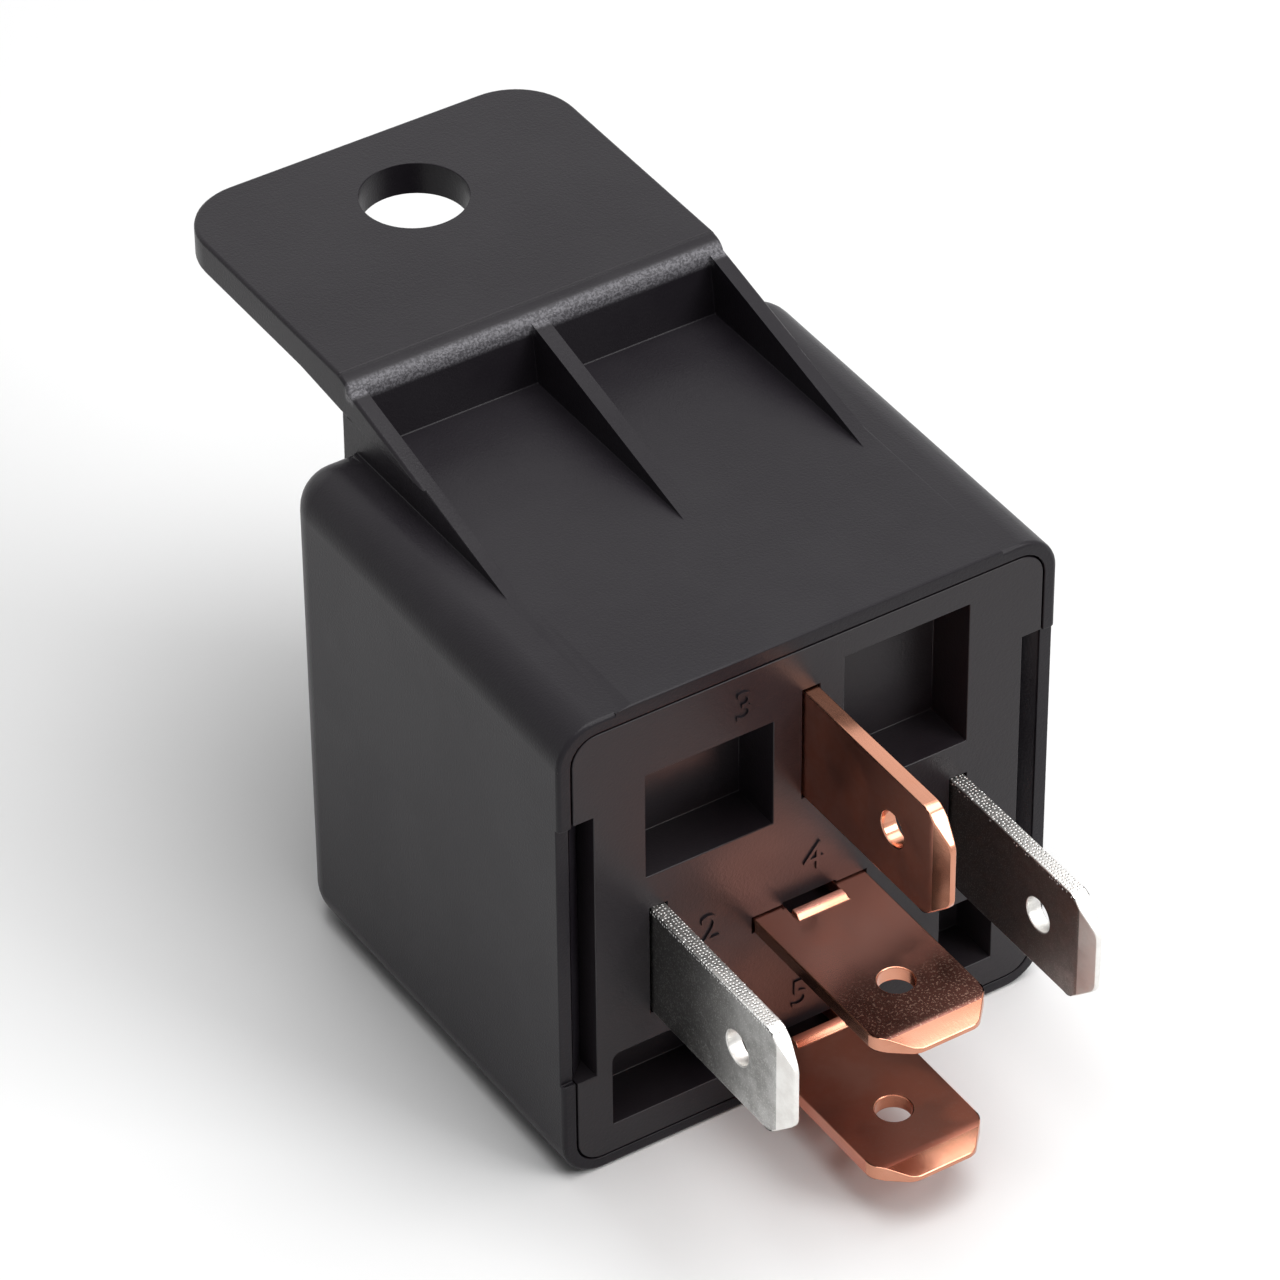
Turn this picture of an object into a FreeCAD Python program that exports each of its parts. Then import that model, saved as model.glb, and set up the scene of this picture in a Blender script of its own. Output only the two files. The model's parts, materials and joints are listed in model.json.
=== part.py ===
import FreeCAD, Part
import math
import os

from FreeCAD import Vector

# Changeover relay with five blades. Millimetres.
# X runs across the relay, Y from the blades towards the bracket, Z from the underside up to the bracket.
# The origin is the centre of the underside. A depth is measured along Y from the open rim of the cover.

# Cover
body_width = 27.5
body_height = 27.35
body_length = 24.16
edge_radius = 2.15
side_wall = 0.71
end_wall = 0.9
panel_half_width = 10.6
panel_rise = 0.12
rim_recess_depth = 0.25

# Bracket on the cover
tab_half_width = 10.5
tab_reach = 15.97
tab_rise = 3.85
tab_thickness = 1.83
tab_corner_radius = 3.4
hole_radius = 2.7
hole_from_tab_end = 5.6
edge_softness = 0.18
root_bend_reach = 3.6
root_drop = 0.3
block_inset = 0.15
block_foot_thickness = 1.46
block_top_thickness = 0.85
block_root_drop = 3.2
nose_radius = 0.75
rib_thickness = 0.85
rib_run = 14.0
rib_root_sink = 0.5

# Snap fit between cover and base, with its heights measured from the middle of the body
latch_below_middle = 7.6
latch_above_middle = 8.0
latch_gap = 0.12
hook_height = 1.05
hook_lead_depth = 0.3
hook_peak_depth = 1.3
hook_end_depth = 2.1
hook_end_slack = 0.2
groove_slack = 0.1

# Base
base_gap = 0.1
base_thickness = 4.4
slot_gap = 0.08
lance_slot_rise = 0.5
lance_slot_depth = 1.6
pocket_depth = 2.85
pocket_upper_floor_above_middle = 3.22
pocket_left_top_above_middle = 9.32
pocket_left_outer = 9.07
pocket_left_inner = 2.08
pocket_right_top_wall = 1.47
pocket_right_outer = 8.81
pocket_right_inner = 1.84
pocket_lower_floor_wall = 1.69
pocket_lower_height = 4.35
pocket_lower_left_wall = 0.87
pocket_lower_left_inner = 4.6
pocket_lower_right_wall = 1.27
pocket_lower_right_inner = 7.52
post_radius = 1.1
post_spread = 4.7
post_above_link = 2.1
post_below_yoke_top = 2.9
cheek_thickness = 0.9
cheek_above_middle = 0.35
cheek_height = 6.0
cheek_gap = 0.1
cheek_past_foot = 1.1

# Blades
blade_width = 6.3
blade_thickness = 0.8
blade_reach = 11.5
tip_bevel_length = 0.85
tip_bevel_depth = 0.22
tip_chamfer_across = 1.45
tip_chamfer_along = 1.65
blade_hole_radius = 0.9
blade_hole_from_tip = 4.3
lance_half_width = 1.55
lance_reach = 1.1
lance_lip = 0.28
lance_lip_rise = 0.22
lance_lip_root = 0.2
drop_87_below_middle = 10.585
pitch_87_to_87a = 8.05
pitch_87_to_30 = 17.8
pitch_87_to_coil_blades = 8.6
pitch_85_to_86 = 16.8
strip_bend_radius = 1.0
strip_lap = 0.5
coil_blade_past_base = 1.2
coil_tail_width = 1.9
coil_tail_length = 2.4
flange_30_length = 5.4

# Strips that lead blades 87 and 87a to their contacts
drop_87a_past_base = 1.3
link_above_87 = 1.5
link_width = 2.9
side_strip_inner = 4.6
side_strip_width = 5.3
side_strip_above_floor = 1.3
carrier_margin = 2.0
carrier_far_x = -3.0
carrier_87_margin = 1.7

# Magnet
foot_gap = 0.8
yoke_thickness = 1.5
yoke_half_width = 6.0
yoke_headroom = 1.54
yoke_bend_radius = 1.4
yoke_foot_margin = 0.1
coil_to_yoke_gap = 0.8
core_radius = 3.0
core_tail_radius = 2.0
pole_radius = 4.6
pole_thickness = 0.7
bobbin_wall = 0.8
bobbin_fit = 0.05
flange_thickness = 0.9
flange_half_size = 7.6
flange_corner_radius = 1.6
winding_radius = 7.0
winding_end_gap = 0.05
lead_radius = 0.2
lead_seat_gap = 0.01
lead_yoke_gap = 0.34
lead_notch = 0.55
lead_on_winding = 2.0
lead_before_foot_back = 0.6
lead_end_above_blade = 0.5
lead_blade_gap = 0.06
lead_end_from_tail_end = 0.6

# Armature and contacts
armature_thickness = 1.4
armature_half_width = 5.9
armature_above_contact = 3.8
armature_top_gap = 0.12
armature_corner_radius = 1.5
armature_chamfer = 0.8
armature_open_angle = 3.5
pole_gap = 0.08
residual_pin_radius = 0.9
residual_pin_proud = 0.05
residual_pin_above_low = 3.0
spring_thickness = 0.25
spring_half_width = 3.1
spring_tip_half_width = 2.2
spring_on_yoke = 8.3
spring_bend_radius = 0.9
spring_seat_gap = 0.02
spring_hole_gap = 0.05
spring_taper_above_contact = 2.3
spring_taper_length = 2.5
contact_above_87 = 2.5
contact_radius = 1.6
contact_tip_margin = 0.5
contact_dome_radius = 6.0
contact_shank_radius = 0.8
moving_front_height = 0.6
moving_back_height = 0.5
fixed_contact_height = 0.6
contact_gap = 0.03
end_gap = 0.5
rivet_radius = 0.8
rivet_head_radius = 1.35
rivet_head_height = 0.4
spring_rivet_from_pole = 3.3
spring_rivet_pitch = 3.2
armature_rivet_above_low = 6.0
armature_rivet_pitch = 4.2
terminal_rivet_x = 3.2
terminal_rivet_radius = 1.0
terminal_rivet_head_radius = 1.7
terminal_rivet_head_height = 0.55

# Working values of the cuts: how far a cut runs past a face, and how close counts as the same place
overrun = 1.0
hair = 0.001

# Cover and base sizes that follow
half_length = body_length / 2
half_width = body_width / 2
middle_height = body_height / 2
tab_top = body_height + tab_rise
tab_bottom = tab_top - tab_thickness
panel_top = body_height + panel_rise
cavity_half_width = half_width - side_wall
cavity_top = body_height - side_wall
cavity_end = body_length - end_wall
latch_low = middle_height - latch_below_middle
latch_high = middle_height + latch_above_middle
base_half_width = cavity_half_width - base_gap
base_bottom = side_wall + base_gap
base_top = cavity_top - base_gap
hook_x = cavity_half_width - hook_height
groove_x = hook_x - latch_gap

# Heights that follow
height_87 = middle_height - drop_87_below_middle
height_87a = height_87 + pitch_87_to_87a
height_30 = height_87 + pitch_87_to_30
height_coil_blades = height_87 + pitch_87_to_coil_blades
coil_blade_x = pitch_85_to_86 / 2
contact_height = height_87 + contact_above_87
link_low = height_87 + link_above_87
link_high = link_low + link_width
yoke_top = cavity_top - yoke_headroom
yoke_underside = yoke_top - yoke_thickness
post_low_height = link_high + post_above_link
post_high_height = yoke_top - post_below_yoke_top
yoke_foot_low = post_low_height - post_radius + yoke_foot_margin
coil_height = yoke_underside - coil_to_yoke_gap - flange_half_size
armature_low = contact_height + armature_above_contact
armature_top = yoke_top - armature_top_gap
residual_pin_height = armature_low + residual_pin_above_low

# Depths that follow, up to the pole face
drop_87a_depth = base_thickness + drop_87a_past_base
foot_depth = drop_87a_depth + blade_thickness / 2 + foot_gap
foot_back = foot_depth + yoke_thickness
open_angle = math.radians(armature_open_angle)
armature_stack = pole_gap + armature_thickness
spring_stack = armature_stack + spring_seat_gap + spring_thickness
dome_centre = spring_stack + moving_back_height - contact_dome_radius
contact_drop = yoke_top - contact_height
dome_centre_open = dome_centre * math.cos(open_angle) + contact_drop * math.sin(open_angle)
back_contact_offset = dome_centre_open + contact_dome_radius + contact_gap
back_stack = back_contact_offset + fixed_contact_height + blade_thickness + end_gap
pole_face = cavity_end - back_stack
bobbin_end = pole_face - pole_thickness
armature_inner = pole_face + pole_gap
armature_outer = pole_face + armature_stack
spring_inner = armature_outer + spring_seat_gap
spring_outer = pole_face + spring_stack
back_contact_face = pole_face + back_contact_offset
carrier_87a_depth = back_contact_face + fixed_contact_height + blade_thickness / 2
front_contact_face = spring_inner - moving_front_height - contact_gap
carrier_87_depth = front_contact_face - fixed_contact_height - blade_thickness / 2

# Places of the rivets and of the wire ends
spring_rivet_far = pole_face - spring_rivet_from_pole
spring_rivet_depths = (spring_rivet_far - spring_rivet_pitch, spring_rivet_far)
armature_rivet_heights = (
    armature_low + armature_rivet_above_low,
    armature_low + armature_rivet_above_low + armature_rivet_pitch,
)
lead_x = yoke_half_width + lead_yoke_gap + lead_radius
lead_drop = math.sqrt((winding_radius + lead_radius + lead_seat_gap) ** 2 - lead_x ** 2)
lead_height = coil_height - lead_drop


def y_at(depth):
    return depth - half_length


def block(x_low, x_high, depth_low, depth_high, z_low, z_high):
    corner = Vector(x_low, y_at(depth_low), z_low)
    return Part.makeBox(x_high - x_low, depth_high - depth_low, z_high - z_low, corner)


def rod(x, z, depth_low, depth_high, radius):
    return Part.makeCylinder(radius, depth_high - depth_low, Vector(x, y_at(depth_low), z), Vector(0, 1, 0))


def post(x, depth, z_low, z_high, radius):
    return Part.makeCylinder(radius, z_high - z_low, Vector(x, y_at(depth), z_low), Vector(0, 0, 1))


def side_profile(points, x_low, x_high):
    """A solid from an outline of (depth, z) points, carried across the relay."""
    corners = [Vector(x_low, y_at(depth), z) for depth, z in points]
    outline = Part.makePolygon(corners + corners[:1])
    return Part.Face(outline).extrude(Vector(x_high - x_low, 0, 0))


def edges_where(shape, test):
    return [edge for edge in shape.Edges if test(edge)]


def runs_along(edge, direction):
    if not isinstance(edge.Curve, (Part.Line, Part.LineSegment)):
        return False
    start, end = edge.Vertexes[0].Point, edge.Vertexes[-1].Point
    return abs((end - start).normalize().dot(direction)) > 0.999


def round_edges(shape, radius, test):
    return shape.makeFillet(radius, edges_where(shape, test))


def strip_outline(points, thickness, bend_radius):
    """A flat outline in (a, b) of a strip that follows points, with each corner bent to one radius."""
    path = [Vector(a, b, 0) for a, b in points]
    half = thickness / 2
    sides = {half: [], -half: []}
    starts = {side: None for side in sides}
    for index, corner in enumerate(path):
        before = (corner - path[index - 1]).normalize() if index else None
        after = (path[index + 1] - corner).normalize() if index + 1 < len(path) else None
        for side, edges in sides.items():
            if before is None:
                starts[side] = corner + Vector(-after.y, after.x, 0) * side
                continue
            normal_in = Vector(-before.y, before.x, 0)
            if after is None:
                edges.append(Part.makeLine(starts[side], corner + normal_in * side))
                starts[side] = corner + normal_in * side
                continue
            normal_out = Vector(-after.y, after.x, 0)
            turn = math.atan2(before.x * after.y - before.y * after.x, before.dot(after))
            back_off = bend_radius * math.tan(abs(turn) / 2)
            towards = 1 if turn > 0 else -1
            centre = corner - before * back_off + normal_in * (towards * bend_radius)
            arc_start = corner - before * back_off + normal_in * side
            arc_end = corner + after * back_off + normal_out * side
            middle = corner - centre
            reach = bend_radius - towards * side
            arc_middle = centre + middle.normalize() * reach
            edges.append(Part.makeLine(starts[side], arc_start))
            edges.append(Part.Arc(arc_start, arc_middle, arc_end).toShape())
            starts[side] = arc_end
    first = Part.makeLine(sides[half][0].Vertexes[0].Point, sides[-half][0].Vertexes[0].Point)
    last = Part.makeLine(starts[half], starts[-half])
    return sides[half] + [last] + sides[-half] + [first]


def bent_strip_side(points, thickness, bend_radius, x_low, x_high):
    """A strip bent in the side view: points are (depth, z)."""
    edges = strip_outline([(y_at(depth), z) for depth, z in points], thickness, bend_radius)
    face = Part.Face(Part.Wire(Part.__sortEdges__(edges)))
    # A third of a turn about this diagonal takes X to Y, Y to Z and Z to X
    face.rotate(Vector(0, 0, 0), Vector(1, 1, 1), 120)
    face.translate(Vector(x_low, 0, 0))
    return face.extrude(Vector(x_high - x_low, 0, 0))


def bent_strip_plan(points, thickness, bend_radius, z_low, z_high):
    """A strip bent in the view from above: points are (x, depth)."""
    edges = strip_outline([(x, y_at(depth)) for x, depth in points], thickness, bend_radius)
    face = Part.Face(Part.Wire(Part.__sortEdges__(edges)))
    face.translate(Vector(0, 0, z_low))
    return face.extrude(Vector(0, 0, z_high - z_low))


def swing_open(shape):
    """Tips a solid of the closed armature about the end of the yoke, to where the spring holds it."""
    tipped = shape.copy()
    tipped.rotate(Vector(0, y_at(pole_face), yoke_top), Vector(1, 0, 0), armature_open_angle)
    return tipped


def open_point(depth, z):
    """The place, as (depth, z), of a point of the closed armature when the armature is open."""
    along, up = depth - pole_face, z - yoke_top
    return (
        pole_face + along * math.cos(open_angle) - up * math.sin(open_angle),
        yoke_top + along * math.sin(open_angle) + up * math.cos(open_angle),
    )


def can(half_span, z_low, z_high, depth_low, depth_high, radius):
    """A box that is rounded on all edges but those of its open front."""
    solid = block(-half_span, half_span, depth_low, depth_high, z_low, z_high)
    front = y_at(depth_low)
    return round_edges(solid, radius, lambda e: max(v.Y for v in e.Vertexes) > front + hair)


def latch_hook(side):
    """The ramp inside a side wall of the cover that snaps in front of the base."""
    points = [
        (cavity_half_width + side_wall / 2, hook_lead_depth),
        (cavity_half_width, hook_lead_depth),
        (hook_x, hook_peak_depth),
        (hook_x, hook_end_depth - hook_end_slack),
        (cavity_half_width, hook_end_depth),
        (cavity_half_width + side_wall / 2, hook_end_depth),
    ]
    corners = [Vector(side * x, y_at(depth), latch_low) for x, depth in points]
    face = Part.Face(Part.makePolygon(corners + corners[:1]))
    return face.extrude(Vector(0, 0, latch_high - latch_low))


def slope_height(depth):
    """Height of the straight line on which all three ribs and the nose of the bracket lie."""
    return tab_top - (body_length - depth) * tab_rise / rib_run


def tab():
    """The flat plate with its rounded corners, its hole and the bend where it meets the block."""
    tab_end = body_length + tab_reach
    plate = side_profile(
        [
            (body_length, tab_top),
            (tab_end, tab_top),
            (tab_end, tab_bottom),
            (body_length + root_bend_reach, tab_bottom),
            (body_length, tab_bottom - root_drop),
        ],
        -tab_half_width,
        tab_half_width,
    )
    end = y_at(tab_end)
    up = Vector(0, 0, 1)
    plate = round_edges(
        plate, tab_corner_radius, lambda e: runs_along(e, up) and e.CenterOfMass.y > end - hair
    )
    root = y_at(body_length + root_bend_reach) + hair
    rim = edges_where(plate, lambda e: e.BoundBox.YMin > root and e.BoundBox.ZLength < hair)
    plate = plate.makeChamfer(edge_softness, rim)
    hole_depth = tab_end - hole_from_tab_end
    return plate.cut(post(0, hole_depth, tab_bottom - overrun, tab_top + overrun, hole_radius))


def bracket_block():
    """The upright wall that carries the tab, with its round nose towards the ribs."""
    foot = body_length - block_foot_thickness
    nose = body_length - block_top_thickness
    points = [
        (foot, body_height - rib_root_sink),
        (foot, panel_top),
        (nose, slope_height(nose)),
        (body_length, tab_top),
        (body_length, body_height - block_root_drop),
    ]
    half = tab_half_width - block_inset
    wall = side_profile(points, -half, half)
    across = Vector(1, 0, 0)
    nose_y = y_at(nose)
    return round_edges(
        wall, nose_radius, lambda e: runs_along(e, across) and abs(e.CenterOfMass.y - nose_y) < hair
    )


def rib(x_low, x_high):
    """One of the three sloping ribs."""
    points = [
        (body_length - rib_run, body_height - rib_root_sink),
        (body_length - rib_run, body_height),
        (body_length, tab_top),
        (body_length, body_height - rib_root_sink),
    ]
    return side_profile(points, x_low, x_high)


def rib_cap(side):
    """The upper part of an outer rib, which stands out to the edge of the tab."""
    meeting = body_length - rib_run * tab_thickness / tab_rise
    points = [(meeting, tab_bottom), (body_length, tab_bottom), (body_length, tab_top)]
    inner, outer = tab_half_width - rib_thickness, tab_half_width
    return side_profile(points, min(side * inner, side * outer), max(side * inner, side * outer))


def make_cover():
    outside = can(half_width, 0, body_height, 0, body_length, edge_radius)
    foot = body_length - block_foot_thickness
    panel = block(-panel_half_width, panel_half_width, 0, foot, body_height - side_wall, panel_top)
    rib_outer = tab_half_width - block_inset
    rib_inner = tab_half_width - rib_thickness
    pieces = [panel, tab(), bracket_block(), rib(-rib_thickness / 2, rib_thickness / 2)]
    pieces += [rib(-rib_outer, -rib_inner), rib(rib_inner, rib_outer), rib_cap(-1), rib_cap(1)]
    solid = outside.fuse(pieces).removeSplitter()
    inner_radius = edge_radius - side_wall
    cavity = can(cavity_half_width, side_wall, cavity_top, -overrun, cavity_end, inner_radius)
    solid = solid.cut(cavity)
    for side in (-1, 1):
        low, high = sorted((side * cavity_half_width, side * (half_width + overrun)))
        recess = block(low, high, -overrun, rim_recess_depth, latch_low, latch_high)
        solid = solid.cut(recess).fuse(latch_hook(side))
    return solid.removeSplitter()


def pockets():
    """Moulding pockets in the face of the base, as (x_low, x_high, z_low, z_high)."""
    upper_floor = middle_height + pocket_upper_floor_above_middle
    left_top = middle_height + pocket_left_top_above_middle
    right_top = base_top - pocket_right_top_wall
    lower_floor = base_bottom + pocket_lower_floor_wall
    lower_top = lower_floor + pocket_lower_height
    return [
        (-pocket_left_outer, -pocket_left_inner, upper_floor, left_top),
        (pocket_right_inner, pocket_right_outer, upper_floor, right_top),
        (pocket_lower_left_wall - groove_x, -pocket_lower_left_inner, lower_floor, lower_top),
        (pocket_lower_right_inner, groove_x - pocket_lower_right_wall, lower_floor, lower_top),
    ]


def upright_slot(x, z):
    half_thickness = blade_thickness / 2 + slot_gap
    half_slot = blade_width / 2 + slot_gap
    past = base_thickness + overrun
    return block(x - half_thickness, x + half_thickness, -overrun, past, z - half_slot, z + half_slot)


def flat_slot(z):
    """Slot of a flat blade, with the notch above it that lets the lance in."""
    half_thickness = blade_thickness / 2 + slot_gap
    half_slot = blade_width / 2 + slot_gap
    past = base_thickness + overrun
    slot = block(-half_slot, half_slot, -overrun, past, z - half_thickness, z + half_thickness)
    notch_half = lance_half_width + slot_gap
    notch_top = z + half_thickness + lance_slot_rise
    notch = block(-notch_half, notch_half, -overrun, lance_slot_depth, z, notch_top)
    return slot.fuse(notch)


def make_base():
    plate = block(-base_half_width, base_half_width, 0, base_thickness, base_bottom, base_top)
    along = Vector(0, 1, 0)
    corner_radius = edge_radius - side_wall - base_gap
    plate = round_edges(plate, corner_radius, lambda e: runs_along(e, along))
    for x_low, x_high, z_low, z_high in pockets():
        pocket = block(x_low, x_high, -overrun, pocket_depth, z_low, z_high)
        plate = plate.cut(pocket)
    for x, z in ((0, height_30), (-coil_blade_x, height_coil_blades), (coil_blade_x, height_coil_blades)):
        plate = plate.cut(upright_slot(x, z))
    for z in (height_87, height_87a):
        plate = plate.cut(flat_slot(z))
    groove_end = hook_end_depth + groove_slack
    groove_low, groove_high = latch_low - groove_slack, latch_high + groove_slack
    cheek_low = middle_height + cheek_above_middle
    cheek_end = foot_depth + cheek_past_foot
    for side in (-1, 1):
        low, high = sorted((side * groove_x, side * (half_width + overrun)))
        plate = plate.cut(block(low, high, -overrun, groove_end, groove_low, groove_high))
        cheek_inner = yoke_half_width + cheek_gap
        low, high = sorted((side * cheek_inner, side * (cheek_inner + cheek_thickness)))
        cheek = block(low, high, base_thickness - strip_lap, cheek_end, cheek_low, cheek_low + cheek_height)
        plate = plate.fuse(cheek)
    for side, z in ((-1, post_low_height), (1, post_low_height), (-1, post_high_height)):
        plate = plate.fuse(rod(side * post_spread, z, base_thickness - strip_lap, foot_depth, post_radius))
    return plate.removeSplitter()


def blade(root_depth):
    """A flat blade along Y, centred on X = 0 and Z = 0, from its bevelled tip to root_depth."""
    half = blade_width / 2
    tip = -blade_reach
    outline = [
        (-half + tip_chamfer_across, tip),
        (half - tip_chamfer_across, tip),
        (half, tip + tip_chamfer_along),
        (half, root_depth),
        (-half, root_depth),
        (-half, tip + tip_chamfer_along),
    ]
    corners = [Vector(x, y_at(depth), -blade_thickness / 2) for x, depth in outline]
    solid = Part.Face(Part.makePolygon(corners + corners[:1])).extrude(Vector(0, 0, blade_thickness))
    surface = blade_thickness / 2
    for side in (-1, 1):
        bevel = [
            (tip - overrun, side * (surface + overrun)),
            (tip - overrun, side * (surface - tip_bevel_depth)),
            (tip, side * (surface - tip_bevel_depth)),
            (tip + tip_bevel_length, side * surface),
            (tip + tip_bevel_length, side * (surface + overrun)),
        ]
        solid = solid.cut(side_profile(bevel, -half - overrun, half + overrun))
    hole = post(0, tip + blade_hole_from_tip, -blade_thickness, blade_thickness, blade_hole_radius)
    return solid.cut(hole)


def upright(solid, x, z):
    """Turns a flat blade on edge and puts it at its place."""
    placed = solid.copy()
    placed.rotate(Vector(0, 0, 0), Vector(0, 1, 0), 90)
    placed.translate(Vector(x, 0, z))
    return placed


def lance(solid, z):
    """Cuts the small window at the root of a flat blade and raises the lip in front of it."""
    surface = z + blade_thickness / 2
    window_start = lance_lip - lance_reach
    window_end = lance_slot_depth / 2
    half = lance_half_width
    window = block(-half, half, window_start, window_end, z - blade_thickness, surface + overrun)
    lip_outline = [
        (-lance_reach, surface - lance_lip_root),
        (-lance_reach, surface),
        (-lance_reach + lance_lip / 2, surface + lance_lip_rise),
        (window_start, surface + lance_lip_rise),
        (window_start, surface - lance_lip_root),
    ]
    return solid.cut(window).fuse(side_profile(lip_outline, -half, half))


def make_terminal_30():
    low = height_30 - blade_width / 2
    high = height_30 + blade_width / 2
    flange_depth = foot_depth - blade_thickness / 2
    root = base_thickness
    tongue = upright(blade(root), 0, height_30)
    bend = bent_strip_plan(
        [(0, root - strip_lap), (0, flange_depth), (flange_30_length, flange_depth)],
        blade_thickness,
        strip_bend_radius,
        low,
        high,
    )
    hole = rod(terminal_rivet_x, height_30, root, foot_depth + overrun, terminal_rivet_radius)
    return tongue.fuse(bend).cut(hole).removeSplitter()


def make_coil_terminal(side):
    shoulder = base_thickness + coil_blade_past_base
    x = side * coil_blade_x
    tail = block(
        x - blade_thickness / 2,
        x + blade_thickness / 2,
        base_thickness,
        shoulder + coil_tail_length,
        height_coil_blades - coil_tail_width / 2,
        height_coil_blades + coil_tail_width / 2,
    )
    return upright(blade(shoulder), x, height_coil_blades).fuse(tail).removeSplitter()


def contact_hole(depth, z):
    return rod(0, z, depth - overrun, depth + overrun, contact_shank_radius)


def make_terminal_87():
    """Flat blade that runs on below the coil and turns up to carry the working contact."""
    half = blade_width / 2
    tongue = blade(base_thickness)
    tongue.translate(Vector(0, 0, height_87))
    carrier_high = contact_height + carrier_87_margin
    start = base_thickness - strip_lap
    route = [(start, height_87), (carrier_87_depth, height_87), (carrier_87_depth, carrier_high)]
    strip = bent_strip_side(route, blade_thickness, strip_bend_radius, -half, half)
    solid = lance(tongue.fuse(strip), height_87)
    return solid.cut(contact_hole(carrier_87_depth, contact_height)).removeSplitter()


def make_terminal_87a():
    """Flat blade that drops behind the base, runs past the coil and carries the resting contact."""
    half = blade_width / 2
    half_thickness = blade_thickness / 2
    side_strip_outer = side_strip_inner + side_strip_width
    side_strip_height = side_wall + side_strip_above_floor
    carrier_low, carrier_high = contact_height - carrier_margin, contact_height + carrier_margin
    tongue = blade(base_thickness)
    tongue.translate(Vector(0, 0, height_87a))
    start = base_thickness - strip_lap
    drop_route = [(start, height_87a), (drop_87a_depth, height_87a), (drop_87a_depth, link_low)]
    drop = bent_strip_side(drop_route, blade_thickness, strip_bend_radius, -half, half)
    link = block(
        -half,
        side_strip_outer,
        drop_87a_depth - half_thickness,
        drop_87a_depth + half_thickness,
        link_low,
        link_high,
    )
    side_route = [
        (drop_87a_depth, link_high),
        (drop_87a_depth, side_strip_height),
        (carrier_87a_depth, side_strip_height),
        (carrier_87a_depth, carrier_high),
    ]
    side_strip = bent_strip_side(
        side_route, blade_thickness, strip_bend_radius, side_strip_inner, side_strip_outer
    )
    carrier = block(
        carrier_far_x,
        side_strip_outer,
        carrier_87a_depth - half_thickness,
        carrier_87a_depth + half_thickness,
        carrier_low,
        carrier_high,
    )
    solid = lance(tongue.fuse(drop), height_87a).fuse([link, side_strip, carrier])
    return solid.cut(contact_hole(carrier_87a_depth, contact_height)).removeSplitter()


def make_yoke():
    middle = yoke_top - yoke_thickness / 2
    foot_middle = foot_depth + yoke_thickness / 2
    strip = bent_strip_side(
        [(pole_face, middle), (foot_middle, middle), (foot_middle, yoke_foot_low)],
        yoke_thickness,
        yoke_bend_radius,
        -yoke_half_width,
        yoke_half_width,
    )
    front, back = foot_depth - overrun, foot_back + overrun
    core_hole = rod(0, coil_height, front, back, core_tail_radius)
    terminal_hole = rod(terminal_rivet_x, height_30, front, back, terminal_rivet_radius)
    strip = strip.cut(core_hole).cut(terminal_hole)
    for depth in spring_rivet_depths:
        strip = strip.cut(post(0, depth, yoke_underside - overrun, yoke_top + overrun, rivet_radius))
    return strip


def make_core():
    """Soft iron pin: pole head, body, and a tail that is staked flush in the foot of the yoke."""
    solid = rod(0, coil_height, foot_back, bobbin_end, core_radius)
    solid = solid.fuse(rod(0, coil_height, bobbin_end, pole_face, pole_radius))
    return solid.fuse(rod(0, coil_height, foot_depth, foot_back, core_tail_radius)).removeSplitter()


def bobbin_flange(depth_low):
    low, high = coil_height - flange_half_size, coil_height + flange_half_size
    plate = block(-flange_half_size, flange_half_size, depth_low, depth_low + flange_thickness, low, high)
    along = Vector(0, 1, 0)
    return round_edges(plate, flange_corner_radius, lambda e: runs_along(e, along))


def make_bobbin():
    inner = core_radius + bobbin_fit
    tube = rod(0, coil_height, foot_back, bobbin_end, inner + bobbin_wall)
    solid = tube.fuse([bobbin_flange(foot_back), bobbin_flange(bobbin_end - flange_thickness)])
    solid = solid.cut(rod(0, coil_height, foot_back - overrun, bobbin_end + overrun, inner))
    notch_end = foot_back + flange_thickness + hair
    for side in (-1, 1):
        low, high = sorted((side * (lead_x - lead_notch), side * (flange_half_size + overrun)))
        notch_low, notch_high = lead_height - lead_notch, lead_height + lead_notch
        solid = solid.cut(block(low, high, foot_back - overrun, notch_end, notch_low, notch_high))
    return solid.removeSplitter()


def make_winding():
    start = foot_back + flange_thickness + winding_end_gap
    end = bobbin_end - flange_thickness - winding_end_gap
    inner = core_radius + bobbin_fit + bobbin_wall
    outside = rod(0, coil_height, start, end, winding_radius)
    return outside.cut(rod(0, coil_height, start - overrun, end + overrun, inner))


def make_lead(side):
    """Wire end that leaves the winding through the notch of the flange and lies on the blade's tail."""
    tail_end = base_thickness + coil_blade_past_base + coil_tail_length
    blade_face = coil_blade_x - blade_thickness / 2 - lead_blade_gap
    end_height = height_coil_blades + lead_end_above_blade
    route = [
        (lead_x, foot_back + flange_thickness + lead_on_winding, lead_height),
        (lead_x, foot_back - lead_before_foot_back, lead_height),
        (blade_face, tail_end - lead_end_from_tail_end, end_height),
    ]
    points = [Vector(-x, y_at(depth), z) for x, depth, z in route]
    ring = Part.Wire(Part.makeCircle(lead_radius, points[0], Vector(0, 1, 0)))
    # The last argument, 2, rounds the outside of each corner of the wire
    lead = Part.makePolygon(points).makePipeShell([ring], True, False, 2)
    return lead if side < 0 else lead.mirror(Vector(0, 0, 0), Vector(1, 0, 0))


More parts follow.
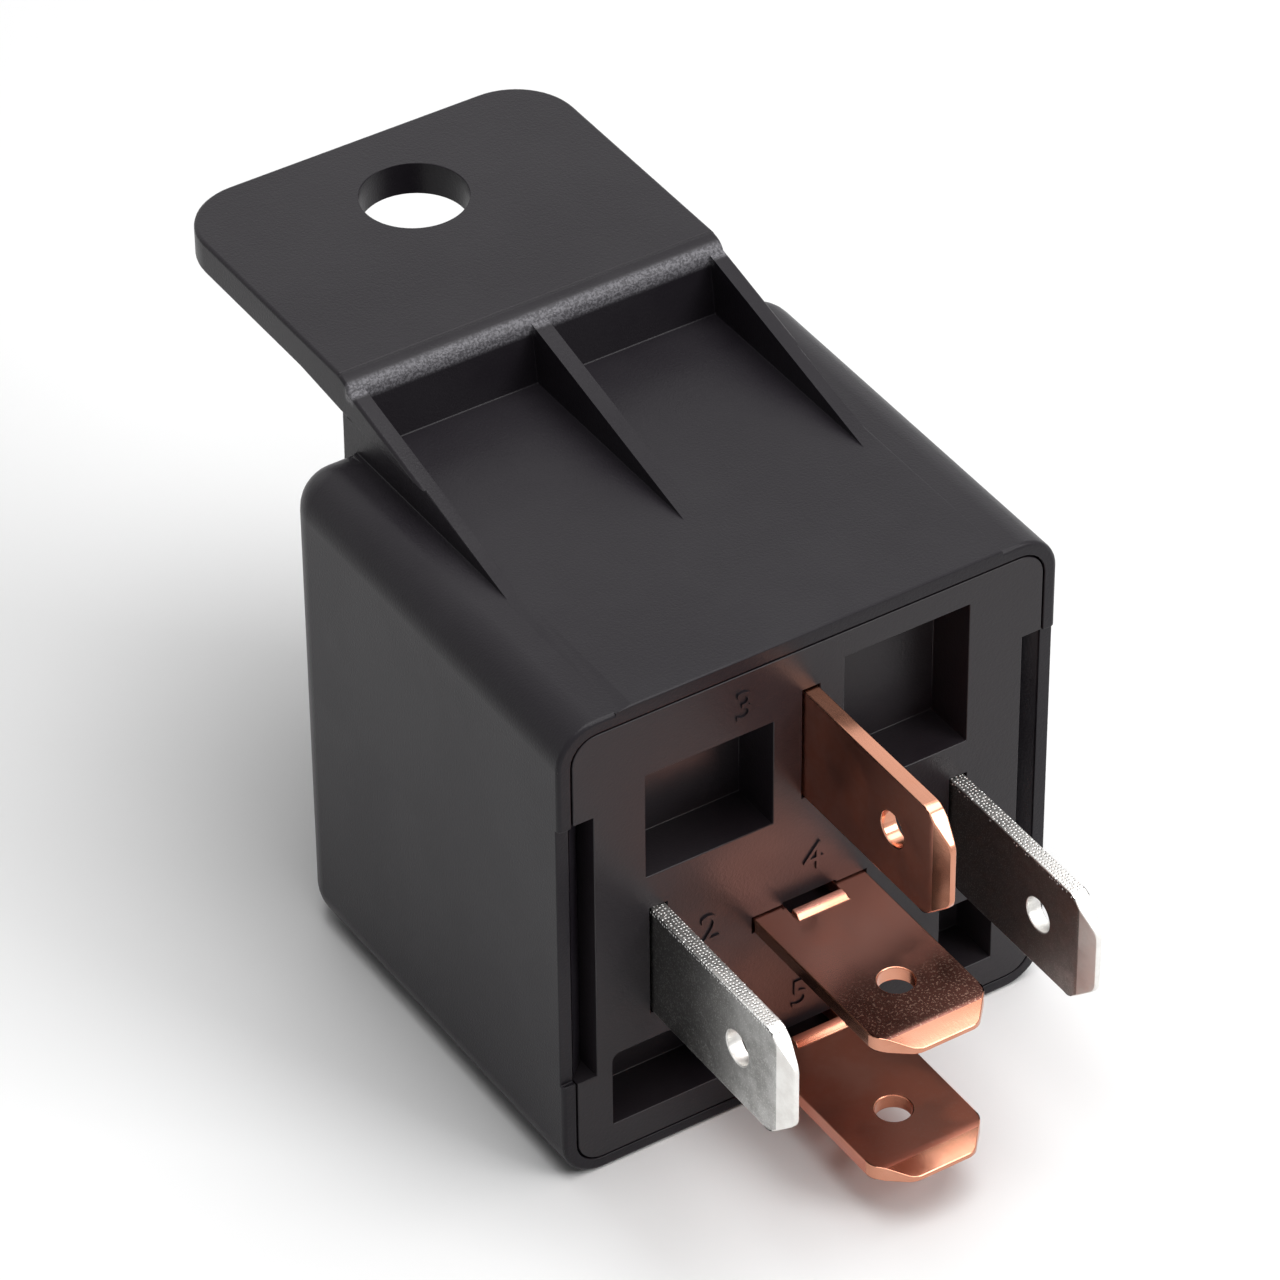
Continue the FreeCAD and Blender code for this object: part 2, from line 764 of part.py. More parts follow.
def make_armature():
    plate = side_profile(
        [
            (armature_inner, armature_low),
            (armature_inner, armature_top),
            (armature_outer - armature_chamfer, armature_top),
            (armature_outer, armature_top - armature_chamfer),
            (armature_outer, armature_low),
        ],
        -armature_half_width,
        armature_half_width,
    )
    along = Vector(0, 1, 0)
    low = armature_low + hair
    plate = round_edges(
        plate, armature_corner_radius, lambda e: runs_along(e, along) and e.CenterOfMass.z < low
    )
    front, back = armature_inner - overrun, armature_outer + overrun
    for z in armature_rivet_heights:
        plate = plate.cut(rod(0, z, front, back, rivet_radius))
    return swing_open(plate.cut(rod(0, residual_pin_height, front, back, residual_pin_radius)))


def make_residual_pin():
    """Brass pin that stands a little proud of the armature, so that it doesn't stick to the pole."""
    front = armature_inner - residual_pin_proud
    return swing_open(rod(0, residual_pin_height, front, armature_outer, residual_pin_radius))


def make_contact_spring():
    """Leaf that is riveted on the yoke, bends over its end and runs down the armature to the contact."""
    middle = spring_thickness / 2
    top = yoke_top + spring_seat_gap + middle
    tip_z = contact_height - contact_radius - contact_tip_margin
    down_start = open_point(spring_inner + middle, yoke_top)
    down_end = open_point(spring_inner + middle, tip_z)
    share = (top - down_start[1]) / (down_end[1] - down_start[1])
    corner = (down_start[0] + share * (down_end[0] - down_start[0]), top)
    route = [(pole_face - spring_on_yoke, top), corner, down_end]
    leaf = bent_strip_side(
        route, spring_thickness, spring_bend_radius, -spring_half_width, spring_half_width
    )
    taper_end = contact_height + spring_taper_above_contact
    taper_start = taper_end + spring_taper_length
    outside = spring_half_width + overrun
    for side in (-1, 1):
        outline = [
            (outside, taper_start),
            (spring_half_width, taper_start),
            (spring_tip_half_width, taper_end),
            (spring_tip_half_width, tip_z - overrun),
            (outside, tip_z - overrun),
        ]
        corners = [Vector(side * x, y_at(spring_inner - overrun), z) for x, z in outline]
        waste = Part.Face(Part.makePolygon(corners + corners[:1]))
        leaf = leaf.cut(swing_open(waste.extrude(Vector(0, spring_thickness + 2 * overrun, 0))))
    for depth in spring_rivet_depths:
        leaf = leaf.cut(post(0, depth, yoke_top - overrun, top + overrun, rivet_radius + spring_hole_gap))
    front, back = spring_inner - overrun, spring_outer + overrun
    for z in armature_rivet_heights:
        leaf = leaf.cut(swing_open(rod(0, z, front, back, rivet_radius)))
    return leaf.cut(swing_open(rod(0, contact_height, front, back, contact_shank_radius)))


def make_spring_rivets():
    """Rivets that hold the leaf on the yoke."""
    seat = yoke_top + 2 * spring_seat_gap + spring_thickness
    rivets = []
    for depth in spring_rivet_depths:
        shank = post(0, depth, yoke_underside, seat, rivet_radius)
        head = post(0, depth, seat, seat + rivet_head_height, rivet_head_radius)
        rivets.append(shank.fuse(head).removeSplitter())
    return Part.makeCompound(rivets)


def make_armature_rivets():
    """Rivets that hold the leaf on the armature."""
    rivets = []
    for z in armature_rivet_heights:
        shank = rod(0, z, armature_inner, spring_outer, rivet_radius)
        head = rod(0, z, spring_outer, spring_outer + rivet_head_height, rivet_head_radius)
        rivets.append(swing_open(shank.fuse(head).removeSplitter()))
    return Part.makeCompound(rivets)


def make_terminal_rivet():
    """Rivet that joins the flange of blade 30 to the yoke."""
    flange_front = foot_depth - blade_thickness
    shank = rod(terminal_rivet_x, height_30, flange_front, foot_back, terminal_rivet_radius)
    head_front = flange_front - terminal_rivet_head_height
    head = rod(terminal_rivet_x, height_30, head_front, flange_front, terminal_rivet_head_radius)
    return shank.fuse(head).removeSplitter()


def domed_head(face_depth, direction, height):
    """Head of the moving contact, on one side of the leaf, with its dome away from it."""
    tip = face_depth + direction * height
    low, high = sorted((face_depth, tip))
    centre = Vector(0, y_at(tip - direction * contact_dome_radius), contact_height)
    ball = Part.makeSphere(contact_dome_radius, centre)
    return rod(0, contact_height, low, high, contact_radius).common(ball)


def make_moving_contact():
    """Silver contact rivet at the tip of the leaf, domed on both sides."""
    shank = rod(0, contact_height, spring_inner, spring_outer, contact_shank_radius)
    back = domed_head(spring_outer, 1, moving_back_height)
    front = domed_head(spring_inner, -1, moving_front_height)
    return swing_open(shank.fuse([back, front]).removeSplitter())


def make_fixed_contact(face_depth, direction):
    """Flat silver rivet in a carrier; direction points along Y from its face to the carrier."""
    head_back = face_depth + direction * fixed_contact_height
    shank_end = head_back + direction * blade_thickness
    head_ends = sorted((face_depth, head_back))
    shank_ends = sorted((head_back, shank_end))
    head = rod(0, contact_height, head_ends[0], head_ends[1], contact_radius)
    shank = rod(0, contact_height, shank_ends[0], shank_ends[1], contact_shank_radius)
    return head.fuse(shank).removeSplitter()


pieces = {
    "cover": make_cover,
    "base": make_base,
    "terminal_30": make_terminal_30,
    "terminal_87": make_terminal_87,
    "terminal_87a": make_terminal_87a,
    "terminal_85": lambda: make_coil_terminal(-1),
    "terminal_86": lambda: make_coil_terminal(1),
    "bobbin": make_bobbin,
    "coil_winding": make_winding,
    "coil_lead_85": lambda: make_lead(-1),
    "coil_lead_86": lambda: make_lead(1),
    "core": make_core,
    "yoke": make_yoke,
    "terminal_rivet": make_terminal_rivet,
    "armature": make_armature,
    "residual_pin": make_residual_pin,
    "contact_spring": make_contact_spring,
    "spring_rivets": make_spring_rivets,
    "armature_rivets": make_armature_rivets,
    "moving_contact": make_moving_contact,
    "fixed_contact_87": lambda: make_fixed_contact(front_contact_face, -1),
    "fixed_contact_87a": lambda: make_fixed_contact(back_contact_face, 1),
}

os.makedirs("parts", exist_ok=True)
for name, make in pieces.items():
    shape = make()
    print(name, len(shape.Solids), "solids, valid", shape.isValid(), "volume", round(shape.Volume, 2))
    shape.exportStep("parts/" + name + ".step")
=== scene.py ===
# %% [markdown]
# This script dresses a small changeover relay: a black moulded cover with a screw bracket, a base that snaps
# into it, five blades, and the coil, armature and contacts inside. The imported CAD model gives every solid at
# its true size and place. The pieces that are seen are modelled again here with soft edges, and each piece
# gets a finish. The work is done in millimetres, as in a drawing, and a finished piece is scaled to metres.

import json
import math

import bpy
from mathutils import Matrix, Vector
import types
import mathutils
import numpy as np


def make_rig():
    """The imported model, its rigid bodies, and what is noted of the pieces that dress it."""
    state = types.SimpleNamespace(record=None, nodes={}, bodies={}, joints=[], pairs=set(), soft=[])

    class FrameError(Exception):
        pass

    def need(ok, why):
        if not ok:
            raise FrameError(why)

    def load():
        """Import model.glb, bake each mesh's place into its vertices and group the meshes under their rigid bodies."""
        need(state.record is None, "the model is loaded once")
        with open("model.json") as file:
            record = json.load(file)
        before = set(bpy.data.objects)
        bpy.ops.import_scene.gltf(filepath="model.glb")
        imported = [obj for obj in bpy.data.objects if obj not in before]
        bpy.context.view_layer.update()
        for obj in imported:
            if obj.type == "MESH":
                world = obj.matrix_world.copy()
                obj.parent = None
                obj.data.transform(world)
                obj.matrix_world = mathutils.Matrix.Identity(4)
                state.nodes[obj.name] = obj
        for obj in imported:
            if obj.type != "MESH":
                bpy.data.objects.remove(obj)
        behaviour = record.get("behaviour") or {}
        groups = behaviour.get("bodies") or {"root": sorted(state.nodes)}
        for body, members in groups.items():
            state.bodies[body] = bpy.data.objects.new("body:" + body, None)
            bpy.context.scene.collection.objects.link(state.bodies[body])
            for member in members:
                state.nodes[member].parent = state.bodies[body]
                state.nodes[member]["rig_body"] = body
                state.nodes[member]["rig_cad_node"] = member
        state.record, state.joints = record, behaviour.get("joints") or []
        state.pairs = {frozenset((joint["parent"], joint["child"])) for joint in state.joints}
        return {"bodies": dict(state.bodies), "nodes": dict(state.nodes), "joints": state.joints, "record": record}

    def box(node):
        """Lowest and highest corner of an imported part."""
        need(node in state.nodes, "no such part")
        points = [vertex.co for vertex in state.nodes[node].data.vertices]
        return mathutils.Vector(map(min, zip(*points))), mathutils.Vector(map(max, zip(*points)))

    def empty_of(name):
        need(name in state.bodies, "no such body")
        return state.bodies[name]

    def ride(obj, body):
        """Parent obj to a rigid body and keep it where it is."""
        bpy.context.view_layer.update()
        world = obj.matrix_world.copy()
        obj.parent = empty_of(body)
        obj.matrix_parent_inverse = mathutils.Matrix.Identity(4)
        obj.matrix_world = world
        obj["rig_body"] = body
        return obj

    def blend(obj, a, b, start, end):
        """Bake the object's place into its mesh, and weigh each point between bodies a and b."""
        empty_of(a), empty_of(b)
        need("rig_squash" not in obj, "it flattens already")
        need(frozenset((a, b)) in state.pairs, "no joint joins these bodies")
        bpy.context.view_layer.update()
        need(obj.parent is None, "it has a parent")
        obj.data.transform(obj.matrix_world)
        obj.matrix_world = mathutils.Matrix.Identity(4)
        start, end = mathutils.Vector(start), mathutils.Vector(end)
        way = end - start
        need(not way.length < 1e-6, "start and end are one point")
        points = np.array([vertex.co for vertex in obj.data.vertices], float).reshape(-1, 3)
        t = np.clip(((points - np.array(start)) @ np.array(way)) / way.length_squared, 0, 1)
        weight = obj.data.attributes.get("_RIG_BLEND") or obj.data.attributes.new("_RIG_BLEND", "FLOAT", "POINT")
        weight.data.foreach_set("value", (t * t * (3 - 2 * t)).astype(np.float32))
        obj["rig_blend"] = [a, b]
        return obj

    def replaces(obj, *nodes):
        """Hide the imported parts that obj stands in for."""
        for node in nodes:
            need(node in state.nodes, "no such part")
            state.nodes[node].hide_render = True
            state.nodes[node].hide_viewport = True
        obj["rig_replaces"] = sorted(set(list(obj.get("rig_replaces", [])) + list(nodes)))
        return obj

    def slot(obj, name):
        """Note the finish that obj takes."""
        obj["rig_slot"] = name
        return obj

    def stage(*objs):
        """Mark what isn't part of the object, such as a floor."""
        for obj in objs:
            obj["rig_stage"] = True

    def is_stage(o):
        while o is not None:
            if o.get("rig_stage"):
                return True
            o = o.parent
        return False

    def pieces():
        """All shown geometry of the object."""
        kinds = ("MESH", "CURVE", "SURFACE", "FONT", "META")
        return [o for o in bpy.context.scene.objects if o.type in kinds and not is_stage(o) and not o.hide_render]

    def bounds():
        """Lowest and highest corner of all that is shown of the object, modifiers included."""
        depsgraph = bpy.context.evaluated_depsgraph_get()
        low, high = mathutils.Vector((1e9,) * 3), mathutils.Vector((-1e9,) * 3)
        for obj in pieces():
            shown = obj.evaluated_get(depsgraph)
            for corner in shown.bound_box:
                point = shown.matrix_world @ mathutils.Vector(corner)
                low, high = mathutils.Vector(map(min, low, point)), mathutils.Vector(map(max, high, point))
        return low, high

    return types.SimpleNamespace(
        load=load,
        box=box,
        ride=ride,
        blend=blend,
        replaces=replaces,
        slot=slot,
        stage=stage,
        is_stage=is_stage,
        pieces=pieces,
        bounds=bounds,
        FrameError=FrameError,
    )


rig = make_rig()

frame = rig.load()
cad_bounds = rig.bounds()
metre = 1000


def box_mm(node):
    low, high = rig.box(node)
    return low * metre, high * metre


cad_size = cad_bounds[1] - cad_bounds[0]
print(len(frame["nodes"]), "CAD nodes, box in mm:", *[round(x * metre, 2) for x in cad_size])

# %% [markdown]
# The photograph looks down on the corner between the front, where the blades are, and the left side. A long
# lens keeps parallel edges nearly parallel. The camera could be aimed with a track constraint, but a fitted
# view has a little roll as well, so its three directions are written out and put into its matrix.

# %% Place the camera
camera_place = Vector((-140.46, -218.22, 228.90)) / metre
camera_right = Vector((0.8404, -0.5418, -0.0073))
camera_up = Vector((0.3458, 0.5258, 0.7770))
lens_length = 198.34
sensor_width = 36

camera_data = bpy.data.cameras.new("camera")
camera_data.lens = lens_length
camera_data.sensor_width = sensor_width
camera_data.clip_start = 0.01
camera = bpy.data.objects.new("camera", camera_data)
bpy.context.scene.collection.objects.link(camera)
turn = Matrix((camera_right, camera_up, camera_right.cross(camera_up))).transposed()
camera.matrix_world = Matrix.Translation(camera_place) @ turn.to_4x4()
bpy.context.scene.camera = camera
bpy.context.scene.view_settings.view_transform = "Standard"
print("camera at", *[round(x, 4) for x in camera_place], "m")

# %% [markdown]
# Modelling by hand goes: add a primitive at its size and place, open edit mode, select the faces or edges that
# matter, and use an operator on them. In a script the selecting is the delicate part, because an operator acts
# on all that is selected. These helpers deselect first and then pick corners, edges or faces by their place.

# %% Helpers: new shapes
hair = 0.01


def deselect():
    bpy.ops.object.select_all(action="DESELECT")


def make_active(obj):
    deselect()
    obj.select_set(True)
    bpy.context.view_layer.objects.active = obj


def settle():
    """Puts the place, turn and scale of the selected object into its mesh."""
    bpy.ops.object.transform_apply(location=True, rotation=True, scale=True)


def name_new(name):
    obj = bpy.context.active_object
    obj.name = name
    obj.data.name = name
    return obj


def add_box(name, low, high):
    """A cube that is stretched from one corner to the other."""
    deselect()
    bpy.ops.mesh.primitive_cube_add(size=1, location=(Vector(low) + Vector(high)) / 2)
    obj = name_new(name)
    obj.scale = Vector(high) - Vector(low)
    settle()
    return obj


def add_side_box(name, side, inner, outer, low, high):
    """A box on one side, from inner to outer across the relay, and from low to high in depth and height."""
    edges = sorted((side * inner, side * outer))
    return add_box(name, (edges[0], *low), (edges[1], *high))


def add_rod(name, centre, radius, length, axis, sides):
    """A cylinder with its middle at centre, along axis."""
    deselect()
    lean = Vector((0, 0, 1)).rotation_difference(Vector(axis)).to_euler()
    bpy.ops.mesh.primitive_cylinder_add(
        vertices=sides, radius=radius, depth=length, location=centre, rotation=lean
    )
    obj = name_new(name)
    settle()
    return obj


# %% Helpers: select and shape


def pick(obj, kind, test):
    """Opens edit mode with only those VERT, EDGE or FACE items selected whose corners pass the test."""
    make_active(obj)
    bpy.ops.object.mode_set(mode="EDIT")
    bpy.ops.mesh.select_mode(type=kind)
    bpy.ops.mesh.select_all(action="DESELECT")
    bpy.ops.object.mode_set(mode="OBJECT")
    corners = obj.data.vertices
    for item in {"VERT": corners, "EDGE": obj.data.edges, "FACE": obj.data.polygons}[kind]:
        places = [item.co] if kind == "VERT" else [corners[i].co for i in item.vertices]
        item.select = bool(test(places))
    bpy.ops.object.mode_set(mode="EDIT")


def open_whole(obj):
    """Opens edit mode with everything selected."""
    make_active(obj)
    bpy.ops.object.mode_set(mode="EDIT")
    bpy.ops.mesh.select_all(action="SELECT")


def close_edit():
    bpy.ops.object.mode_set(mode="OBJECT")


def across_at(y, z):
    """The test for edges that run across the relay at one depth and height."""
    return lambda ends: all(abs(p.y - y) < hair and abs(p.z - z) < hair for p in ends)


def round_off(obj, radius, segments, test, kind="EDGE"):
    """Rounds the edges, or the corners of a flat sheet, that pass the test."""
    pick(obj, kind, test)
    affect = "EDGES" if kind == "EDGE" else "VERTICES"
    bpy.ops.mesh.bevel(offset=radius, offset_type="OFFSET", segments=segments, profile=0.5, affect=affect)
    close_edit()


def slice_across(obj, point, normal, **options):
    """Adds edges where a plane crosses the mesh, so that it can bend, taper or end there."""
    open_whole(obj)
    bpy.ops.mesh.bisect(plane_co=point, plane_no=normal, threshold=0.00001, **options)
    close_edit()


def trim(obj, point, outward):
    """Cuts away what lies beyond a plane, and closes the cut."""
    slice_across(obj, point, Vector(outward).normalized(), use_fill=True, clear_outer=True)


# %% [markdown]
# A boolean joins pieces or cuts one from another. It stumbles over faces that nearly share a plane, so corners
# are rounded before it and merged after it. In the end a piece gets its sharp edges broken: the thin light line
# along them makes it look real.

# %% Helpers: join, cut and soften
merge_distance = 0.002
overlap = 0.2
sharp_angle = math.radians(30)
smooth_angle = math.radians(50)


def apply_modifier(obj, modifier):
    make_active(obj)
    bpy.ops.object.modifier_apply(modifier=modifier.name)


def snap(obj):
    """Rounds every corner to a thousandth of a millimetre, so that flush faces share one exact plane."""
    for corner in obj.data.vertices:
        corner.co = [round(x, 3) for x in corner.co]


def combine(obj, tools, operation):
    """Joins the tools to obj with UNION or cuts them from it with DIFFERENCE. The tools are used up."""
    for tool in tools:
        snap(obj)
        snap(tool)
        modifier = obj.modifiers.new("combine", "BOOLEAN")
        modifier.operation = operation
        modifier.solver = "EXACT"
        modifier.object = tool
        apply_modifier(obj, modifier)
        bpy.data.objects.remove(tool, do_unlink=True)


def join_into(obj, other):
    """Makes the mesh of other a part of obj, without a boolean."""
    make_active(obj)
    other.select_set(True)
    bpy.ops.object.join()


def tidy_mesh(obj):
    """Merges the doubled corners that booleans leave."""
    open_whole(obj)
    bpy.ops.mesh.remove_doubles(threshold=merge_distance)
    bpy.ops.mesh.dissolve_degenerate(threshold=merge_distance / 2)
    close_edit()


def sharp_edges(obj):
    """The edges whose two faces meet at more than the sharp angle, each with its middle."""
    sides = {}
    for face in obj.data.polygons:
        for key in face.edge_keys:
            sides.setdefault(key, []).append(face.normal)
    found = []
    for edge in obj.data.edges:
        normals = sides.get(edge.key, [])
        if len(normals) == 2 and normals[0].angle(normals[1], 0) > sharp_angle:
            ends = [obj.data.vertices[i].co for i in edge.vertices]
            found.append((edge.index, (ends[0] + ends[1]) / 2))
    return found


def soften(obj, width, segments, choose=None):
    """Breaks every sharp edge with a bevel modifier and shades the rest smooth. The optional function choose
    gives the width for the edge with a certain middle."""
    tidy_mesh(obj)
    widths = {i: choose(middle) if choose else width for i, middle in sharp_edges(obj)}
    largest = max(widths.values())
    weights = obj.data.attributes.new("bevel_weight_edge", "FLOAT", "EDGE")
    for index, wanted in widths.items():
        weights.data[index].value = wanted / largest
    bevel = obj.modifiers.new("soft_edges", "BEVEL")
    bevel.width = largest
    bevel.segments = segments
    bevel.limit_method = "WEIGHT"
    bevel.use_clamp_overlap = False
    apply_modifier(obj, bevel)
    obj.data.attributes.remove(obj.data.attributes["bevel_weight_edge"])
    bpy.ops.object.shade_smooth_by_angle(angle=smooth_angle)
    flats = obj.modifiers.new("flat_faces_stay_flat", "WEIGHTED_NORMAL")
    flats.keep_sharp = True
    apply_modifier(obj, flats)


# %% Helpers: hand a piece over


def count(obj):
    return sum(len(face.vertices) - 2 for face in obj.data.polygons)


def tell(what, obj):
    print(what + ",", count(obj), "triangles")


def to_metres(obj):
    make_active(obj)
    obj.scale = (1 / metre, 1 / metre, 1 / metre)
    settle()


def hand_over(obj, body, nodes, slot_name):
    """Scales a finished piece to metres and lets it ride on its CAD body in place of its CAD nodes."""
    to_metres(obj)
    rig.ride(obj, body)
    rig.replaces(obj, *nodes)
    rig.slot(obj, slot_name)
    print(obj.name, "stands for", *nodes, "with", count(obj), "triangles")


# %% [markdown]
# The cover is one moulding: a can with rounded edges, open at the front, and on top of it a flat panel, three
# sloping ribs, an upright wall and the bracket tab with its screw hole. The can could be hollowed with an inset
# and an extrude, but the wall of the bracket reaches down into it, so everything is joined first and then
# a second, rounded box is cut out of it, just as the core of the mould does it.

# %% Cover: the can and its panel
cover_low, cover_high = box_mm("cover")
half_width = cover_high.x
rim = cover_low.y
tab_end = cover_high.y
tab_top = cover_high.z
body_height = 27.35
back = rim + 24.16
edge_radius = 2.15
side_wall = 0.71
end_wall = 0.9
rim_softness = 0.22
panel_half_width = 10.6
panel_top = body_height + 0.12
panel_softness = 0.11
panel_slope = 0.15
slope_foot = 0.1

cover = add_box("cover_moulding", (-half_width, rim, 0), (half_width, back, body_height))
round_off(cover, edge_radius, 10, lambda ends: max(p.y for p in ends) > rim + hair)
round_off(cover, rim_softness, 3, lambda ends: max(p.y for p in ends) < rim + hair)
wall_foot = back - 1.46
panel_low = (-panel_half_width, rim, body_height - side_wall)
panel = add_box("panel", panel_low, (panel_half_width, wall_foot + overlap, panel_top))


def top_but_left(ends):
    """The upper edges of the panel, apart from the long one on the left, which gets a slope."""
    on_top = min(p.z for p in ends) > panel_top - hair
    return on_top and (ends[0].x * ends[1].x < 0 or ends[0].x > 0)


round_off(panel, panel_softness, 4, top_but_left)
trim(panel, (-panel_half_width + slope_foot, rim, body_height), (-panel_slope, 0, 1))
print("can and panel,", count(cover) + count(panel), "triangles")

# %% [markdown]
# Seen from the side, the bracket is one crooked outline: the tab, its bent root, the wall with a rounded
# nose, and the slope down to the panel. Boxes would leave seams between them. So the outline is drawn as one
# face with nine corners, and this face is extruded across the relay. The ribs are boxes trimmed to a slope,
# joined to it later.

# %% Cover: the bracket tab and the wall that carries it
tab_half_width = 10.5
tab_bottom = tab_top - 1.83
root_bend_reach = 3.6
root_drop = 0.3
tab_corner_radius = 3.4
wall_top = back - 0.95
wall_root = body_height - 3.2
rib_low = body_height - 0.5
nose_height = tab_top - 0.26
nose_radius = 0.5

side_view = [
    (back, tab_top),
    (wall_top, nose_height),
    (wall_foot, panel_top),
    (wall_foot, rib_low),
    (back, wall_root),
    (back, tab_bottom - root_drop),
    (back + root_bend_reach, tab_bottom),
    (tab_end, tab_bottom),
    (tab_end, tab_top),
]
deselect()
bpy.ops.mesh.primitive_circle_add(vertices=len(side_view), fill_type="NGON")
bracket = name_new("bracket")
for corner, (y, z) in zip(bracket.data.vertices, side_view):
    corner.co = (-tab_half_width, y, z)
open_whole(bracket)
bpy.ops.mesh.extrude_region_move(TRANSFORM_OT_translate={"value": (2 * tab_half_width, 0, 0)})
bpy.ops.mesh.select_all(action="SELECT")
bpy.ops.mesh.normals_make_consistent(inside=False)
close_edit()


def tab_corner(ends):
    return min(p.y for p in ends) > tab_end - hair and ends[0].x * ends[1].x > 0


round_off(bracket, tab_corner_radius, 14, tab_corner)
round_off(bracket, nose_radius, 8, across_at(wall_top, nose_height))
tell("bracket", bracket)

# %% [markdown]
# Each rib is a box with its top cut to a slope that ends below the panel, so its point is a clean edge. Under
# the tab the bracket is a little narrower. The faces that the boolean splits on its flanks are dissolved.

# %% Cover: the three ribs
rib_half = 0.425
inner_rib = tab_half_width - 2 * rib_half
lower_half_width = tab_half_width - 0.15
rib_top = nose_height - 0.3
rib_point = rim + 10.0
rib_start = rib_point - 0.6
rib_end = wall_top + 0.3

ribs = []
for x_low, x_high in ((-rib_half, rib_half), (-tab_half_width, -inner_rib), (inner_rib, tab_half_width)):
    rib = add_box("rib", (x_low, rib_start, rib_low), (x_high, rib_end, tab_top))
    trim(rib, (0, wall_top, rib_top), (0, panel_top - rib_top, wall_top - rib_point))
    ribs.append(rib)
combine(bracket, ribs, "UNION")
for side in (-1, 1):
    waste_low = (rib_point - 1, wall_root - 1)
    waste_high = (back + 1, tab_bottom - root_drop)
    waste = add_side_box("waste", side, lower_half_width, half_width + 1, waste_low, waste_high)
    combine(bracket, [waste], "DIFFERENCE")
for flank in (-tab_half_width, -lower_half_width, lower_half_width, tab_half_width):
    pick(bracket, "FACE", lambda corners: all(abs(p.x - flank) < hair for p in corners))
    bpy.ops.mesh.dissolve_faces()
    close_edit()
tell("bracket with its ribs", bracket)

# %% Cover: bracket and can in one
hole_radius = 2.7
hole_middle = tab_end - 5.6
hole = add_rod("hole", (0, hole_middle, tab_top), hole_radius, 8, (0, 0, 1), 96)
combine(bracket, [hole], "DIFFERENCE")
combine(cover, [panel, bracket], "UNION")
tell("cover with its bracket", cover)

# %% [markdown]
# Inside the rim of the cover, a long hook on each side snaps in front of the base, and the rim is cut back
# a quarter of a millimetre beside it, where the mould needs a slide. Both are boxes: the hook is trimmed to
# a ramp, and the other one is cut from the rim.

# %% Cover: its cavity and latch hooks
cavity_half_width = half_width - side_wall
cavity_top = body_height - side_wall
cavity_end = back - end_wall
latch_low = body_height / 2 - 7.6
latch_high = body_height / 2 + 8.0
hook_x = cavity_half_width - 1.05
hook_lead = rim + 0.3
hook_peak = rim + 1.3
hook_end = rim + 2.1
recess_depth = 0.25

cavity_low = (-cavity_half_width, rim - 2, side_wall)
cavity = add_box("cavity", cavity_low, (cavity_half_width, cavity_end, cavity_top))
round_off(cavity, edge_radius - side_wall, 6, lambda ends: max(p.y for p in ends) > rim)
combine(cover, [cavity], "DIFFERENCE")
for side in (-1, 1):
    recess_high = (rim + recess_depth, latch_high)
    recess = add_side_box("recess", side, hook_x, half_width + 1, (rim - 1, latch_low), recess_high)
    combine(cover, [recess], "DIFFERENCE")
    in_wall = cavity_half_width + side_wall / 2
    hook = add_side_box("hook", side, hook_x, in_wall, (hook_lead, latch_low), (hook_end, latch_high))
    ramp = (-side * (hook_peak - hook_lead), hook_x - cavity_half_width, 0)
    trim(hook, (side * hook_x, hook_peak, 0), ramp)
    combine(cover, [hook], "UNION")
tell("cover with its cavity and hooks", cover)

# %% [markdown]
# Round the tab and along the outer ribs the edges are broken widely. Where three bevels would meet in less room
# than they need, they throw spikes, so there the width is zero.

# %% Cover: soft edges
cover_softness = 0.06
outline_softness = 0.2


def cover_edge(middle):
    """Wide round the tab and along the outer ribs, none at the panel's front corners and where the ribs run
    into the nose, else the usual."""
    beside_panel = abs(abs(middle.x) - panel_half_width) < 0.2 and middle.z > body_height - 0.5
    if beside_panel and middle.y < rim + 0.4:
        return 0
    beside = abs(abs(middle.x) - tab_half_width) < hair and middle.z > tab_bottom - root_drop + hair
    round_the_end = middle.y > back + root_bend_reach + hair
    on_outline = round_the_end and min(tab_top - middle.z, middle.z - tab_bottom) < hair
    far_from_hole = math.hypot(middle.x, middle.y - hole_middle) > hole_radius + 1
    if far_from_hole and (beside or on_outline):
        return outline_softness
    across_rib = abs(middle.x) < hair or inner_rib + hair < abs(middle.x) < tab_half_width - hair
    if across_rib and abs(middle.z - rib_top) < 0.2 and middle.y > wall_top - 0.2:
        return 0
    return cover_softness


soften(cover, cover_softness, 3, cover_edge)
hand_over(cover, "housing", ["cover"], "cover_plastic")

# %% [markdown]
# The base closes the can. It has a slot for each blade, four shallow pockets that keep its walls even in
# thickness, and a groove on each side for the cover's hooks. Behind it stand three pegs and two cheeks for the
# foot of the yoke. A slot could be an inset face pushed in, but the slots go right through, so boxes are cut.

# %% Base: the plate with its pockets
base_low, base_high = box_mm("base")
base_thickness = 4.4
base_back = rim + base_thickness
middle_height = body_height / 2
base_corner_radius = edge_radius - side_wall - 0.1
groove_x = hook_x - 0.12
groove_end = hook_end + 0.1
pocket_back = rim + 2.85
upper_floor = middle_height + 3.22
lower_floor = base_low.z + 1.69
lower_top = lower_floor + 4.35
pocket_rounding = 0.45
pocket_places = [
    (-9.07, -2.08, upper_floor, middle_height + 9.32),
    (1.84, 8.81, upper_floor, base_high.z - 1.47),
    (0.87 - groove_x, -4.6, lower_floor, lower_top),
    (7.52, groove_x - 1.27, lower_floor, lower_top),
]

